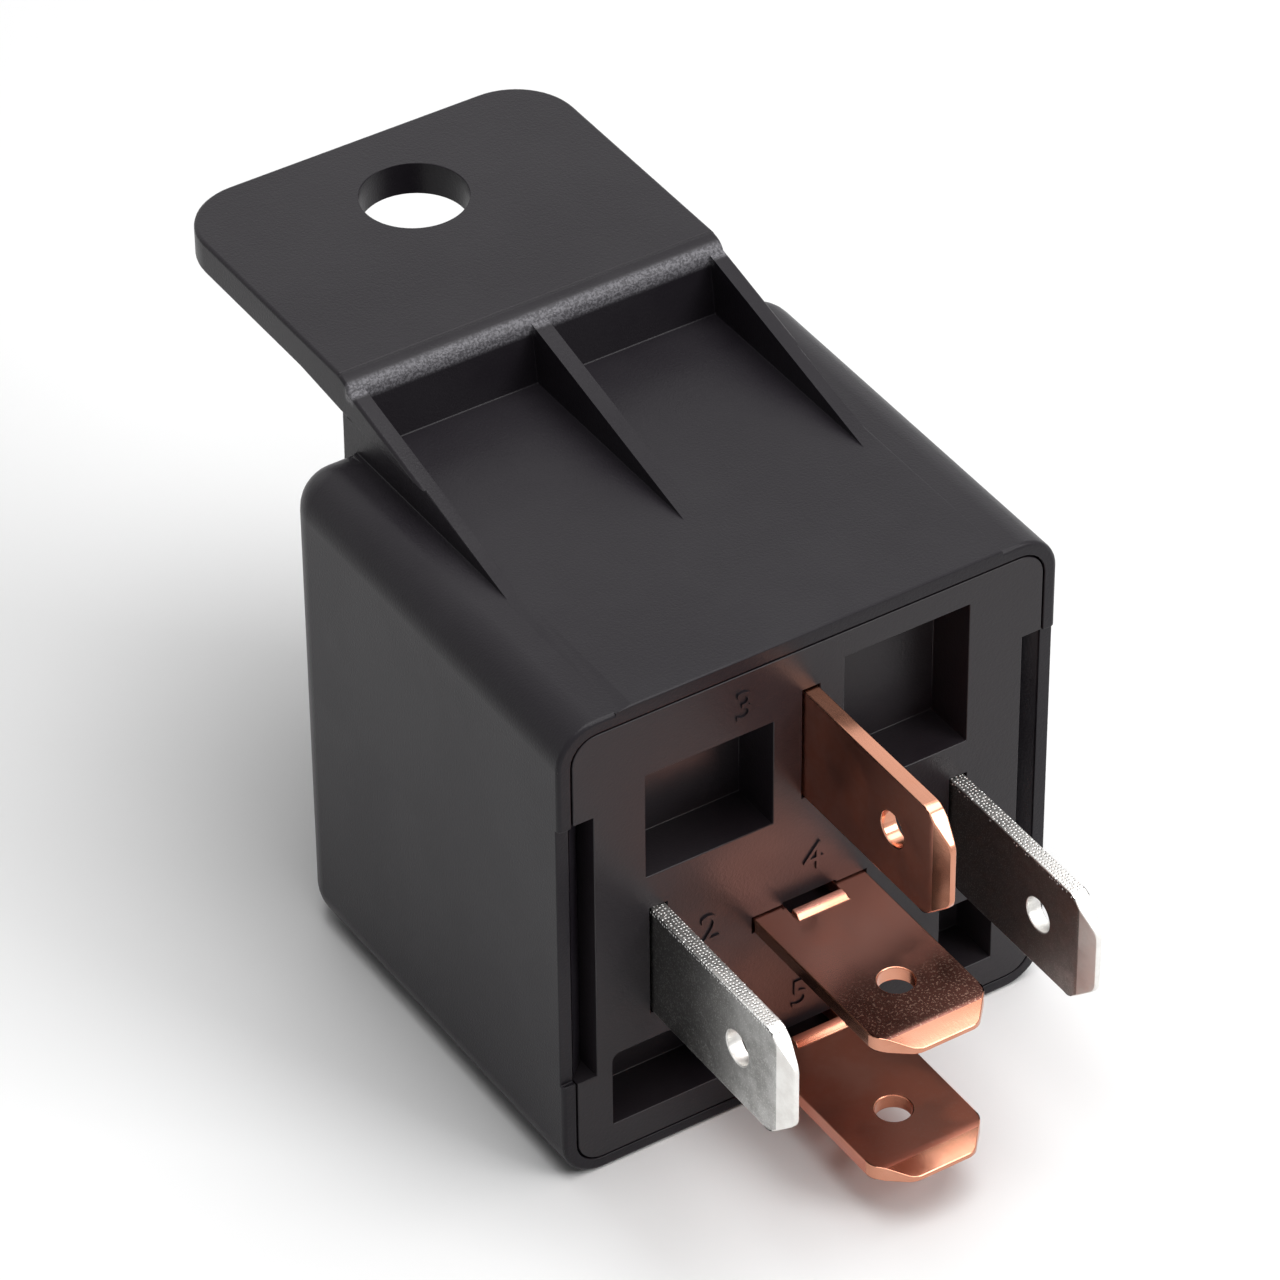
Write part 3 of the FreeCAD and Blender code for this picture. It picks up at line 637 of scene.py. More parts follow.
base = add_box("base_moulding", (base_low.x, rim, base_low.z), (base_high.x, base_back, base_high.z))
round_off(base, base_corner_radius, 8, lambda ends: abs(ends[0].y - ends[1].y) > 1)
pockets = [
    add_box("pocket", (x_low, rim - 1, z_low), (x_high, pocket_back, z_high))
    for x_low, x_high, z_low, z_high in pocket_places
]


def outer_top_corner(ends):
    return all(p.x < pocket_places[2][0] + hair and p.z > lower_top - hair for p in ends)


round_off(pockets[2], pocket_rounding, 5, outer_top_corner)
combine(base, pockets, "DIFFERENCE")
tell("base plate", base)

# %% Base: slots and grooves
blade_width = 6.3
blade_thickness = 0.8
slot_gap = 0.08
half_slot = blade_width / 2 + slot_gap
half_slit = blade_thickness / 2 + slot_gap
height_87 = middle_height - 10.585
height_87a = height_87 + 8.05
height_30 = height_87 + 17.8
height_coil_blades = height_87 + 8.6
coil_blade_x = 8.4
lance_half = 1.42
lance_slot_depth = 1.6
lance_slot_rise = 0.12
notch_half = lance_half + slot_gap
groove_slack = 0.1


def add_slot(x, z, half_across, half_up):
    low = (x - half_across, rim - 1, z - half_up)
    return add_box("slot", low, (x + half_across, base_back + 1, z + half_up))


upright = ((0, height_30), (-coil_blade_x, height_coil_blades), (coil_blade_x, height_coil_blades))
cuts = [add_slot(x, z, half_slit, half_slot) for x, z in upright]
for z in (height_87, height_87a):
    cuts.append(add_slot(0, z, half_slot, half_slit))
    notch_high = (notch_half, rim + lance_slot_depth, z + half_slit + lance_slot_rise)
    cuts.append(add_box("notch", (-notch_half, rim - 1, z), notch_high))
for side in (-1, 1):
    groove_low = (rim - 1, latch_low - groove_slack)
    groove_high = (groove_end, latch_high + groove_slack)
    cuts.append(add_side_box("groove", side, groove_x, half_width + 1, groove_low, groove_high))
combine(base, cuts, "DIFFERENCE")
tell("base with its slots", base)

# %% Base: pegs and cheeks
yoke_low, yoke_high = box_mm("yoke")
foot_front = yoke_low.y
peg_start = base_back - 0.5
peg_radius = 1.1
peg_x = 4.7
peg_low = 9.59
peg_high = 22.2
cheek_inner = yoke_high.x + 0.1
cheek_outer = yoke_high.x + 1.0
cheek_low = (peg_start, middle_height + 0.35)
cheek_high = (foot_front + 1.1, middle_height + 6.35)
base_softness = 0.05

fixings = []
for x, z in ((-peg_x, peg_low), (peg_x, peg_low), (-peg_x, peg_high)):
    middle = (x, (peg_start + foot_front) / 2, z)
    fixings.append(add_rod("peg", middle, peg_radius, foot_front - peg_start, (0, 1, 0), 40))
for side in (-1, 1):
    fixings.append(add_side_box("cheek", side, cheek_inner, cheek_outer, cheek_low, cheek_high))
combine(base, fixings, "UNION")
soften(base, base_softness, 3)
tell("base", base)

# %% [markdown]
# Small figures stand proud of the base beside the blades, to tell the pins apart. They are text objects with
# a little depth, made into a mesh before they are stood upright, and then joined to the base they are moulded
# with.

# %% Base: raised pin numbers
figure_height = 1.7
size_per_height = 1.4
figure_depth = 0.1
figures = {"3": (-3.7, 24.65), "4": (0.2, 13.75), "2": (-5.6, 12.1), "5": (-0.5, 5.6), "1": (5.6, 12.1)}
for digit, (x, z) in figures.items():
    deselect()
    bpy.ops.object.text_add()
    figure = bpy.context.active_object
    figure.data.body = digit
    figure.data.align_x = "CENTER"
    figure.data.align_y = "CENTER"
    figure.data.size = figure_height * size_per_height
    figure.data.extrude = figure_depth
    figure.data.resolution_u = 4
    bpy.ops.object.convert(target="MESH")
    figure = bpy.context.active_object
    open_whole(figure)
    bpy.ops.mesh.remove_doubles(threshold=0.0005)
    close_edit()
    figure.rotation_euler = (math.pi / 2, 0, 0)
    figure.location = (x, rim, z)
    settle()
    join_into(base, figure)
hand_over(base, "housing", ["base"], "base_plastic")

# %% [markdown]
# A blade is stamped from strip, and inside the relay the strip goes on and is bent towards its contact. The
# quick way to such a strip is a flat sheet: the edge of a plane is extruded, the corner between them is
# bevelled round, and the Solidify modifier gives it thickness, which keeps the bend concentric.

# %% Helpers for strips
tip = rim - 11.5
tip_across = 1.45
tip_along = 1.65
tip_rounding = 0.35


def extend(obj, test, run):
    """Extrudes the edges that pass the test along the run."""
    pick(obj, "EDGE", test)
    bpy.ops.mesh.extrude_region_move(TRANSFORM_OT_translate={"value": run})
    close_edit()


def add_sheet(name, half, start, end, run=None, bend_radius=1.0, pointed=True):
    """A sheet across X, from start to end along Y and then along the run; returned without thickness."""
    deselect()
    bpy.ops.mesh.primitive_plane_add(size=1, location=(0, (start + end) / 2, 0))
    obj = name_new(name)
    obj.scale = (2 * half, end - start, 1)
    settle()
    if pointed:
        slice_across(obj, (0, start + tip_along, 0), (0, 1, 0))
        pick(obj, "VERT", lambda point: point[0].y < start + hair)
        share = (half - tip_across) / half
        bpy.ops.transform.resize(value=(share, 1, 1), center_override=(0, start, 0))
        close_edit()
        round_off(obj, tip_rounding, 4, lambda point: point[0].y < start + tip_along + hair, "VERT")
    if run:
        extend(obj, across_at(end, 0), run)
        round_off(obj, bend_radius, 8, across_at(end, 0))
    return obj


def thicken(obj, thickness):
    """Gives a sheet its thickness, half on each side."""
    modifier = obj.modifiers.new("thickness", "SOLIDIFY")
    modifier.thickness = thickness
    modifier.offset = 0
    modifier.use_even_offset = True
    apply_modifier(obj, modifier)


def place(obj, turn_angle, offset):
    """Turns a mesh about the Y axis, moves it, and leaves its object at the origin."""
    make_active(obj)
    obj.matrix_world = Matrix.Translation(offset) @ Matrix.Rotation(turn_angle, 4, "Y")
    settle()


# %% Helpers for the blades
half_blade = blade_width / 2
half_thick = blade_thickness / 2
bevel_along = 1.1
bevel_deep = 0.26
blade_hole_from_tip = 4.3
blade_hole_radius = 0.9
blade_softness = 0.07
lance_front = rim - 1.3
lance_back = rim - 0.62
lance_top = half_thick + 0.24
lance_ramp = 0.65
lance_crown = 0.15


def add_blade(name, end, rise=0):
    """A blade that lies flat from its tip to end, with its bevels and its hole, and then turns by rise."""
    blade = add_sheet(name, half_blade, tip, end, (0, 0, rise) if rise else None)
    thicken(blade, blade_thickness)
    tools = [add_rod("punch", (0, tip + blade_hole_from_tip, 0), blade_hole_radius, 4, (0, 0, 1), 40)]
    for side in (-1, 1):
        low, high = sorted((0, side))
        wedge = add_box("wedge", (-half_blade - 1, tip - 1, low), (half_blade + 1, tip + 2, high))
        trim(wedge, (0, tip, side * (half_thick - bevel_deep)), (0, bevel_deep, -side * bevel_along))
        tools.append(wedge)
    combine(blade, tools, "DIFFERENCE")
    return blade


def add_lance(obj):
    """Pierces the window at the root of a flat blade and raises the tongue that stops it in the base."""
    window_back = rim + lance_slot_depth + 0.1
    window = add_box("window", (-lance_half, lance_back, -1), (lance_half, window_back, 1))
    combine(obj, [window], "DIFFERENCE")
    tongue_low = (-lance_half, lance_front, half_thick - overlap)
    tongue = add_box("tongue", tongue_low, (lance_half, lance_back, lance_top))
    trim(tongue, (0, lance_front, half_thick), (0, -lance_ramp, 1))
    trim(tongue, (0, lance_back, lance_top), (0, -lance_crown, 1))
    combine(obj, [tongue], "UNION")


def punch(obj, centre, radius):
    """Cuts a round hole along Y for a rivet or a contact."""
    combine(obj, [add_rod("punch", centre, radius, 3, (0, 1, 0), 32)], "DIFFERENCE")


# %% [markdown]
# Blade 3, the common one, stands on edge. Behind the base its strip turns a corner and becomes the flange
# that is riveted to the yoke. It is made lying flat like the others and then turned upright, hole, bevels and
# all.

# %% The common blade
flange_middle = foot_front - blade_thickness + half_thick
flange_end = box_mm("terminal_30")[1].x
flange_rivet_x = 3.2
flange_rivet_radius = 1.0

common = add_blade("common_blade", flange_middle, flange_end)
place(common, math.pi / 2, (0, 0, height_30))
punch(common, (flange_rivet_x, flange_middle, height_30), flange_rivet_radius)
soften(common, blade_softness, 3)
hand_over(common, "housing", ["terminal_30"], "copper")

# %% [markdown]
# The blade of the working contact runs straight on below the coil and turns up to carry its contact. The
# blade of the resting contact drops behind the base, passes the coil on the right and comes round behind the
# armature, so it is two sheets and two boxes joined into one.

# %% The blade of the working contact
contact_height = height_87 + 2.5
carrier_above = 1.7
shank_radius = 0.8
carrier_87 = box_mm("fixed_contact_87")[0].y + half_thick

working = add_blade("working_contact_blade", carrier_87, contact_height + carrier_above - height_87)
add_lance(working)
place(working, 0, (0, 0, height_87))
punch(working, (0, carrier_87, contact_height), shank_radius)
soften(working, blade_softness, 3)
hand_over(working, "housing", ["terminal_87"], "copper")

# %% The blade of the resting contact
drop_y = base_back + 1.3
link_low = height_87 + 1.5
link_high = link_low + 2.9
side_inner = 4.6
side_outer = 9.9
side_height = side_wall + 1.3
side_bend_radius = 1.0
carrier_inner = -3.0
carrier_half = 2
carrier_87a = box_mm("fixed_contact_87a")[1].y - half_thick

resting = add_blade("resting_contact_blade", drop_y, link_low - height_87a)
add_lance(resting)
place(resting, 0, (0, 0, height_87a))
link_corner = (side_outer, drop_y + half_thick, link_high)
link = add_box("link", (-half_blade, drop_y - half_thick, link_low), link_corner)

side_half = (side_outer - side_inner) / 2
side_run = (0, 0, contact_height + carrier_half - side_height)
side_strip = add_sheet("side_strip", side_half, drop_y, carrier_87a, side_run, side_bend_radius, False)
extend(side_strip, across_at(drop_y, 0), (0, 0, link_high - side_height))
round_off(side_strip, side_bend_radius, 8, across_at(drop_y, 0))
thicken(side_strip, blade_thickness)
place(side_strip, 0, ((side_outer + side_inner) / 2, 0, side_height))

carrier_low = (carrier_inner, carrier_87a - half_thick, contact_height - carrier_half)
carrier_high = (side_outer, carrier_87a + half_thick, contact_height + carrier_half)
carrier = add_box("carrier", carrier_low, carrier_high)
combine(resting, [link, side_strip, carrier], "UNION")
punch(resting, (0, carrier_87a, contact_height), shank_radius)
soften(resting, blade_softness, 3)
hand_over(resting, "housing", ["terminal_87a"], "copper")

# %% [markdown]
# The two coil blades are short: a tinned tongue, a shoulder behind the base and a narrow tail that the end of
# the coil wire is soldered to. They differ only in their side, so one loop makes both.

# %% The two coil blades
shoulder = base_back + 1.2
tail_half = 0.95
tail_length = 2.4
coil_blades = []
for side, name, node in ((-1, "coil_blade_left", "terminal_85"), (1, "coil_blade_right", "terminal_86")):
    obj = add_blade(name, shoulder)
    tail_high = (tail_half, shoulder + tail_length, half_thick)
    combine(obj, [add_box("tail", (-tail_half, base_back, -half_thick), tail_high)], "UNION")
    place(obj, math.pi / 2, (side * coil_blade_x, 0, height_coil_blades))
    soften(obj, blade_softness, 3)
    hand_over(obj, "housing", [node], "tinned")
    coil_blades.append(obj)

# %% [markdown]
# The coil is wound with hair-thin enamelled wire, turn beside turn. Thousands of turns can't be modelled, but
# the outer layer is what is seen: one ring of wire with few facets, repeated by an Array modifier, over a
# tube.

# %% The coil winding
winding_low, winding_high = box_mm("coil_winding")
winding_length = winding_high.y - winding_low.y
winding_radius = (winding_high.x - winding_low.x) / 2
coil_height = (winding_high.z + winding_low.z) / 2
bore_radius = 3.85
wire_radius = 0.06
turns = int(winding_length / (2 * wire_radius))
pitch = (winding_length - 2 * wire_radius) / (turns - 1)

deselect()
bpy.ops.mesh.primitive_torus_add(
    major_radius=winding_radius - wire_radius,
    minor_radius=wire_radius,
    major_segments=72,
    minor_segments=6,
    location=(0, winding_low.y + wire_radius, coil_height),
    rotation=(math.pi / 2, 0, 0),
)
winding = name_new("coil_turns")
settle()
array = winding.modifiers.new("turns", "ARRAY")
array.count = turns
array.use_relative_offset = False
array.use_constant_offset = True
array.constant_offset_displace = (0, pitch, 0)
apply_modifier(winding, array)
winding_middle = (0, (winding_low.y + winding_high.y) / 2, coil_height)
layer = add_rod("layer", winding_middle, winding_radius - wire_radius, winding_length, (0, 1, 0), 72)
bore = add_rod("bore", winding_middle, bore_radius, winding_length + 2, (0, 1, 0), 48)
combine(layer, [bore], "DIFFERENCE")
join_into(winding, layer)
bpy.ops.object.shade_smooth_by_angle(angle=math.radians(65))
hand_over(winding, "housing", ["coil_winding"], "enamelled_wire")
print(turns, "turns in the outer layer")

# %% [markdown]
# The contact spring is a thin bronze leaf. It is riveted flat on the yoke, bends over its end and runs down the
# armature to the moving contact, so it belongs to both bodies: the part on the yoke stays, the part on the
# armature moves, and the bend between them flexes. A blend between the two bodies does that, and it needs
# enough faces in the bend to curve, so the bend is made with fine segments.

# %% The contact spring
hinge = Vector(frame["joints"][0]["pos_m"]) * metre
open_angle = math.radians(frame["joints"][0]["range_deg"][1])
leaf_thickness = 0.25
leaf_gap = 0.02
leaf_half = 3.1
leaf_tip_half = 2.2
leaf_bend_radius = 0.85
leaf_top = hinge.z + leaf_gap + leaf_thickness / 2
leaf_start = hinge.y - 8.3
armature_stack = 1.48
leaf_offset = armature_stack + leaf_gap + leaf_thickness / 2
leaf_tip_drop = hinge.z - (contact_height - 2.1)
steps_down = 12


def opened(along, up):
    """Where a point of the closed armature is when it is open, from its place beside the hinge."""
    y = hinge.y + along * math.cos(open_angle) - up * math.sin(open_angle)
    return Vector((0, y, hinge.z + along * math.sin(open_angle) + up * math.cos(open_angle)))


down_start, down_end = opened(leaf_offset, 0), opened(leaf_offset, -leaf_tip_drop)
share = (leaf_top - down_start.z) / (down_end.z - down_start.z)
leaf_corner = down_start.lerp(down_end, share)
run_down = down_end - leaf_corner
leaf = add_sheet("contact_leaf", leaf_half, leaf_start, leaf_corner.y, tuple(run_down), leaf_bend_radius, False)
for step in range(1, steps_down):
    cut_point = leaf_corner - Vector((0, 0, leaf_top)) + run_down * step / steps_down
    slice_across(leaf, cut_point, run_down)
place(leaf, 0, (0, 0, leaf_top))
narrow = leaf_tip_half / leaf_half
taper_low, taper_high = contact_height + 2.3, contact_height + 4.8
for corner in leaf.data.vertices:
    fade = min(1, max(0, (taper_high - corner.co.z) / (taper_high - taper_low)))
    corner.co.x *= 1 - fade * (1 - narrow)
thicken(leaf, leaf_thickness)
tell("leaf", leaf)

# %% The holes of the contact spring
rivets_low, rivets_high = box_mm("spring_rivets")
rivet_inset = 1.35
rivet_play = 0.05
armature_rivet_heights = (15.39, 19.59)
leaf_softness = 0.03

holes = []
for y in (rivets_low.y + rivet_inset, rivets_high.y - rivet_inset):
    holes.append(add_rod("hole", (0, y, leaf_top), shank_radius + rivet_play, 1.0, (0, 0, 1), 32))
for height in armature_rivet_heights:
    middle = opened(leaf_offset, -(hinge.z - height))
    holes.append(add_rod("hole", middle, shank_radius, 1.0, down_start - opened(0, 0), 32))
combine(leaf, holes, "DIFFERENCE")
soften(leaf, leaf_softness, 1)
to_metres(leaf)
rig.replaces(leaf, "contact_spring")
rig.slot(leaf, "spring_bronze")
bend_start = Vector((0, hinge.y - 1.2, hinge.z)) / metre
bend_end = Vector((0, hinge.y + 1.6, hinge.z - 3.2)) / metre
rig.blend(leaf, "housing", "armature", start=bend_start, end=bend_end)
tell("contact_leaf bends between housing and armature", leaf)

# %% [markdown]
# Finishes come next. What several materials share is made once as a node group: it reads the object's own
# coordinates, so that the pattern stays on the surface, and puts out masks, heights and colours. The shader,
# with its constant values, stays in each material.

# %% Helpers for node groups and materials


def new_group(name, inputs, outputs):
    """An empty shader group with number inputs, given as names and defaults, and number outputs."""
    group = bpy.data.node_groups.new(name, "ShaderNodeTree")
    for label, value in inputs.items():
        socket = group.interface.new_socket(label, in_out="INPUT", socket_type="NodeSocketFloat")
        socket.default_value = value
    for label in outputs:
        group.interface.new_socket(label, in_out="OUTPUT", socket_type="NodeSocketFloat")
    return group, group.nodes.new("NodeGroupInput"), group.nodes.new("NodeGroupOutput")


def feed(tree, socket, value):
    """Puts a number or a colour into a socket, or links another node's output to it."""
    if isinstance(value, bpy.types.NodeSocket):
        tree.links.new(value, socket)
    else:
        socket.default_value = (*value, 1) if isinstance(value, tuple) else value


def place_on_part(tree):
    return tree.nodes.new("ShaderNodeTexCoord").outputs["Object"]


def split_up(tree, vector):
    node = tree.nodes.new("ShaderNodeSeparateXYZ")
    tree.links.new(vector, node.inputs["Vector"])
    return node.outputs


def put_out(tree, leave, values):
    for label, value in values.items():
        tree.links.new(value, leave.inputs[label])


def add_noise(tree, vector, scale, detail, roughness=0.5):
    noise = tree.nodes.new("ShaderNodeTexNoise")
    values = {"Vector": vector, "Scale": scale, "Detail": detail, "Roughness": roughness}
    for label, value in values.items():
        feed(tree, noise.inputs[label], value)
    return noise.outputs["Fac"]


def add_math(tree, operation, first, second=0.0):
    node = tree.nodes.new("ShaderNodeMath")
    node.operation = operation
    feed(tree, node.inputs[0], first)
    feed(tree, node.inputs[1], second)
    return node.outputs["Value"]


def times(tree, first, second):
    return add_math(tree, "MULTIPLY", first, second)


def add_range(tree, value, from_low, from_high, to_low=0.0, to_high=1.0):
    """A smooth step from one range of numbers to another."""
    node = tree.nodes.new("ShaderNodeMapRange")
    node.interpolation_type = "SMOOTHSTEP"
    ends = {"Value": value, "From Min": from_low, "From Max": from_high, "To Min": to_low, "To Max": to_high}
    for label, end in ends.items():
        feed(tree, node.inputs[label], end)
    return node.outputs["Result"]


def add_mix(tree, factor, first, second):
    """A colour between two colours."""
    node = tree.nodes.new("ShaderNodeMix")
    node.data_type = "RGBA"
    tree.links.new(factor, node.inputs["Factor"])
    feed(tree, node.inputs[6], first)
    feed(tree, node.inputs[7], second)
    return node.outputs[2]


def new_material(name, roughness, metallic, specular=0.5):
    material = bpy.data.materials.new(name)
    material.use_nodes = True
    shader = material.node_tree.nodes["Principled BSDF"]
    shader.inputs["Roughness"].default_value = roughness
    shader.inputs["Metallic"].default_value = metallic
    shader.inputs["Specular IOR Level"].default_value = specular
    return material, material.node_tree, shader


def add_group(tree, group, values):
    node = tree.nodes.new("ShaderNodeGroup")
    node.node_tree = group
    for label, value in values.items():
        node.inputs[label].default_value = value
    return node.outputs


def gloss_between(tree, shader, mask, smooth, rough):
    tree.links.new(add_range(tree, mask, 0, 1, smooth, rough), shader.inputs["Roughness"])


def add_bump(tree, shader, height, distance_mm):
    bump = tree.nodes.new("ShaderNodeBump")
    bump.inputs["Distance"].default_value = distance_mm / metre
    tree.links.new(height, bump.inputs["Height"])
    tree.links.new(bump.outputs["Normal"], shader.inputs["Normal"])


def put_on(obj, *materials):
    obj.data.materials.clear()
    for material in materials:
        obj.data.materials.append(material)


# %% [markdown]
# Moulded plastic copies the spark-eroded face of its mould, a very fine even grain. On top of it there are
# broad faint differences in gloss where the plastic flowed. The group gives both: a height for the bump, and
# a mask.

# %% Node group: moulded grain
grain_inputs = {"Grain": 9000.0, "Cloud": 180.0}
grain_group, entry, leave = new_group("moulded_grain", grain_inputs, ("Height", "Cloud"))
here = place_on_part(grain_group)
fine = add_noise(grain_group, here, entry.outputs["Grain"], 3.0, 0.6)
cloud = add_noise(grain_group, here, entry.outputs["Cloud"], 3.0, 0.55)
put_out(grain_group, leave, {"Height": fine, "Cloud": add_range(grain_group, cloud, 0.35, 0.65)})
print("moulded_grain with", len(grain_group.nodes), "nodes")

# %% [markdown]
# Rolled strip has faint lines along its rolling direction, soft stains, and fine bright specks where the
# darker skin is rubbed through. Stretching one noise along Y gives the lines, because all the strip here was
# rolled along the blades. The last two outputs follow a blade and are masks of painted reflection: the first
# marks a band near the tip, which is painted darker as a reflection of dark surroundings, and the second grows
# towards the base, which is painted darker as a reflection of the dark base.

# %% Node group: rolled strip
strip_inputs = {"Lines": 6000.0, "Stains": 320.0, "Specks": 5200.0}
tree, entry, leave = new_group("rolled_strip", strip_inputs, (*strip_inputs, "Painted Tip Reflection", "Root"))
here = place_on_part(tree)
stretch = tree.nodes.new("ShaderNodeMapping")
stretch.inputs["Scale"].default_value = (1, 0.06, 1)
tree.links.new(here, stretch.inputs["Vector"])
lines = add_noise(tree, stretch.outputs["Vector"], entry.outputs["Lines"], 2.0)
stains = add_noise(tree, here, entry.outputs["Stains"], 4.0, 0.6)
specks = add_noise(tree, here, entry.outputs["Specks"], 1.0)
ragged = add_math(tree, "ADD", split_up(tree, here)["Y"], times(tree, stains, 0.003))
# Painted reflection near the tip: full from 3.5 to 5 mm behind the tip, fading out by 8 mm and down to about a third
# at the tip.
tip_reflection_mask = add_range(tree, ragged, (tip + 5) / metre, (tip + 8) / metre, 1.0, 0.0)
tip_fade = add_range(tree, ragged, (tip + 1.5) / metre, (tip + 3.5) / metre, 0.35, 1.0)
strip_outputs = {
    "Lines": lines,
    "Stains": add_range(tree, stains, 0.38, 0.64),
    "Specks": add_range(tree, specks, 0.56, 0.66),
    "Painted Tip Reflection": times(tree, tip_reflection_mask, tip_fade),
    # Painted reflection of the base: grows from 3.5 mm behind the tip to 1 mm in front of the base.
    "Root": add_range(tree, ragged, (tip + 3.5) / metre, (rim - 1) / metre),
}
put_out(tree, leave, strip_outputs)
strip_group = tree
print("rolled_strip with", len(strip_group.nodes), "nodes")

# %% [markdown]
# The tinned blades have a row of tiny dents along their upper edge, left by the feed rollers of the press. A
# Voronoi pattern with little randomness gives round dots on a grid, and a band on the height keeps those
# near the edge.

# %% Node group: stamped dots
dots_inputs = {"Dots": 2600.0, "Band Low": 0.0, "Band High": 0.001}
tree, entry, leave = new_group("stamped_dots", dots_inputs, ("Dots",))
here = place_on_part(tree)
cells = tree.nodes.new("ShaderNodeTexVoronoi")
cells.inputs["Randomness"].default_value = 0.45
tree.links.new(here, cells.inputs["Vector"])
tree.links.new(entry.outputs["Dots"], cells.inputs["Scale"])
height = split_up(tree, here)["Z"]
dots = add_range(tree, cells.outputs["Distance"], 0.2, 0.42, 1.0, 0.0)
above = add_math(tree, "GREATER_THAN", height, entry.outputs["Band Low"])
below = add_math(tree, "LESS_THAN", height, entry.outputs["Band High"])
put_out(tree, leave, {"Dots": times(tree, dots, times(tree, above, below))})
dots_group = tree
print("stamped_dots with", len(dots_group.nodes), "nodes")

# %% [markdown]
# The cover and the base are the same kind of satin black plastic. Across the nose of the bracket wall a band
# lightens the peaks of the grain, which is a painted highlight, and raises the grain and makes it glossier, so
# that it sparkles. The crease between tab and nose is a fine dent in the same bump.

# %% Plastic of the cover
nose_painted_highlight_tone = (0.18, 0.175, 0.19)
cover_plastic, tree, shader = new_material("cover_plastic", 0.45, 0.0, 0.19)
grain = add_group(tree, grain_group, {"Grain": 8000.0, "Cloud": 160.0})
tint = add_mix(tree, grain["Cloud"], (0.0105, 0.0085, 0.0115), (0.0135, 0.0115, 0.0145))
gloss = add_range(tree, grain["Cloud"], 0.0, 1.0, 0.34, 0.38)
here = split_up(tree, place_on_part(tree))
nose_front = add_range(tree, here["Y"], (wall_top - 0.5) / metre, (wall_top - 0.2) / metre)
nose_back = add_range(tree, here["Y"], (wall_top + 0.15) / metre, (wall_top + 0.45) / metre, 1.0, 0.0)
nose_low = add_range(tree, here["Z"], (nose_height - 0.95) / metre, (nose_height - 0.6) / metre)
nose_band = times(tree, times(tree, nose_front, nose_back), nose_low)
peaks = add_range(tree, grain["Height"], 0.4, 0.62, 0.4, 1.0)
# Painted highlight: on the nose band the peaks of the grain are lightened.
tint = add_mix(tree, times(tree, nose_band, peaks), tint, nose_painted_highlight_tone)
tree.links.new(tint, shader.inputs["Base Color"])
gloss = add_math(tree, "SUBTRACT", gloss, times(tree, nose_band, 0.12))
tree.links.new(gloss, shader.inputs["Roughness"])
grain_lift = add_math(tree, "ADD", times(tree, nose_band, 1.5), 1.0)
off_crease = add_math(tree, "ABSOLUTE", add_math(tree, "SUBTRACT", here["Y"], back / metre))
on_top = add_math(tree, "GREATER_THAN", here["Z"], (tab_top - 0.1) / metre)
crease = times(tree, add_range(tree, off_crease, 0.0, 0.00012, 2.5, 0.0), on_top)
relief = add_math(tree, "SUBTRACT", times(tree, grain["Height"], grain_lift), crease)
add_bump(tree, shader, relief, 0.015)
put_on(cover, cover_plastic)
print("cover_plastic on", cover.name)

# %% Plastic of the base
base_plastic, tree, shader = new_material("base_plastic", 0.4, 0.0, 0.33)
grain = add_group(tree, grain_group, {"Grain": 7000.0, "Cloud": 140.0})
tint = add_mix(tree, grain["Cloud"], (0.0115, 0.0085, 0.011), (0.0145, 0.0115, 0.014))
tree.links.new(tint, shader.inputs["Base Color"])
gloss_between(tree, shader, grain["Cloud"], 0.36, 0.44)
add_bump(tree, shader, grain["Height"], 0.012)
put_on(base, base_plastic)
print("base_plastic on", base.name)

# %% [markdown]
# The rolled faces of the copper blades and their sheared edges and bevels differ in tone and shine. Two
# materials do this, and each face of a blade gets one of them by the direction it looks in. Towards the tip
# the copper faces are painted darker and speckled, a painted reflection of dark surroundings, most on the
# blade of the resting contact. The tinned blades are painted darker towards the base, a painted reflection of
# the dark base, and the dents along their upper edge are painted near white, a painted glint.

# %% Copper and tin
# Painted reflection of dark surroundings, laid on the copper near the tip.
painted_reflection_tone = (0.22, 0.09, 0.07)
copper_speck = (0.70, 0.42, 0.32)
# Painted reflection of the dark base, laid on the tin towards the base.
painted_root_reflection_tone = (0.13, 0.125, 0.12)
# Painted glint in the dents along the tin's upper edge.
dent_glint_tone = (1.0, 1.0, 0.98)
tin_speck = (0.85, 0.85, 0.83)


def new_strip(name, pattern, bright, dull, metallic, smooth, rough):
    """A material with the shine of stained strip, the outputs of its pattern, and its stained colour."""
    material, tree, shader = new_material(name, rough, metallic)
    strip = add_group(tree, strip_group, pattern)
    gloss_between(tree, shader, strip["Stains"], smooth, rough)
    return material, tree, shader, strip, add_mix(tree, strip["Stains"], bright, dull)


def new_copper(name, bright, dull, reflection_and_speck_share, smooth, rough):
    pattern = {"Lines": 9000.0, "Stains": 260.0, "Specks": 8500.0}
    material, tree, shader, strip, stained = new_strip(name, pattern, bright, dull, 1.0, smooth, rough)
    # Painted reflection: near the tip the colour is darkened by the share, with lighter specks in it.
    darker = add_mix(tree, times(tree, strip["Painted Tip Reflection"], reflection_and_speck_share), stained, painted_reflection_tone)
    speck = times(tree, times(tree, strip["Specks"], strip["Painted Tip Reflection"]), min(1.0, 1.5 * reflection_and_speck_share))
    tree.links.new(add_mix(tree, speck, darker, copper_speck), shader.inputs["Base Color"])
    add_bump(tree, shader, strip["Lines"], 0.002)
    return material


copper_face = new_copper("copper_face", (0.76, 0.32, 0.23), (0.70, 0.25, 0.165), 0.1, 0.28, 0.33)
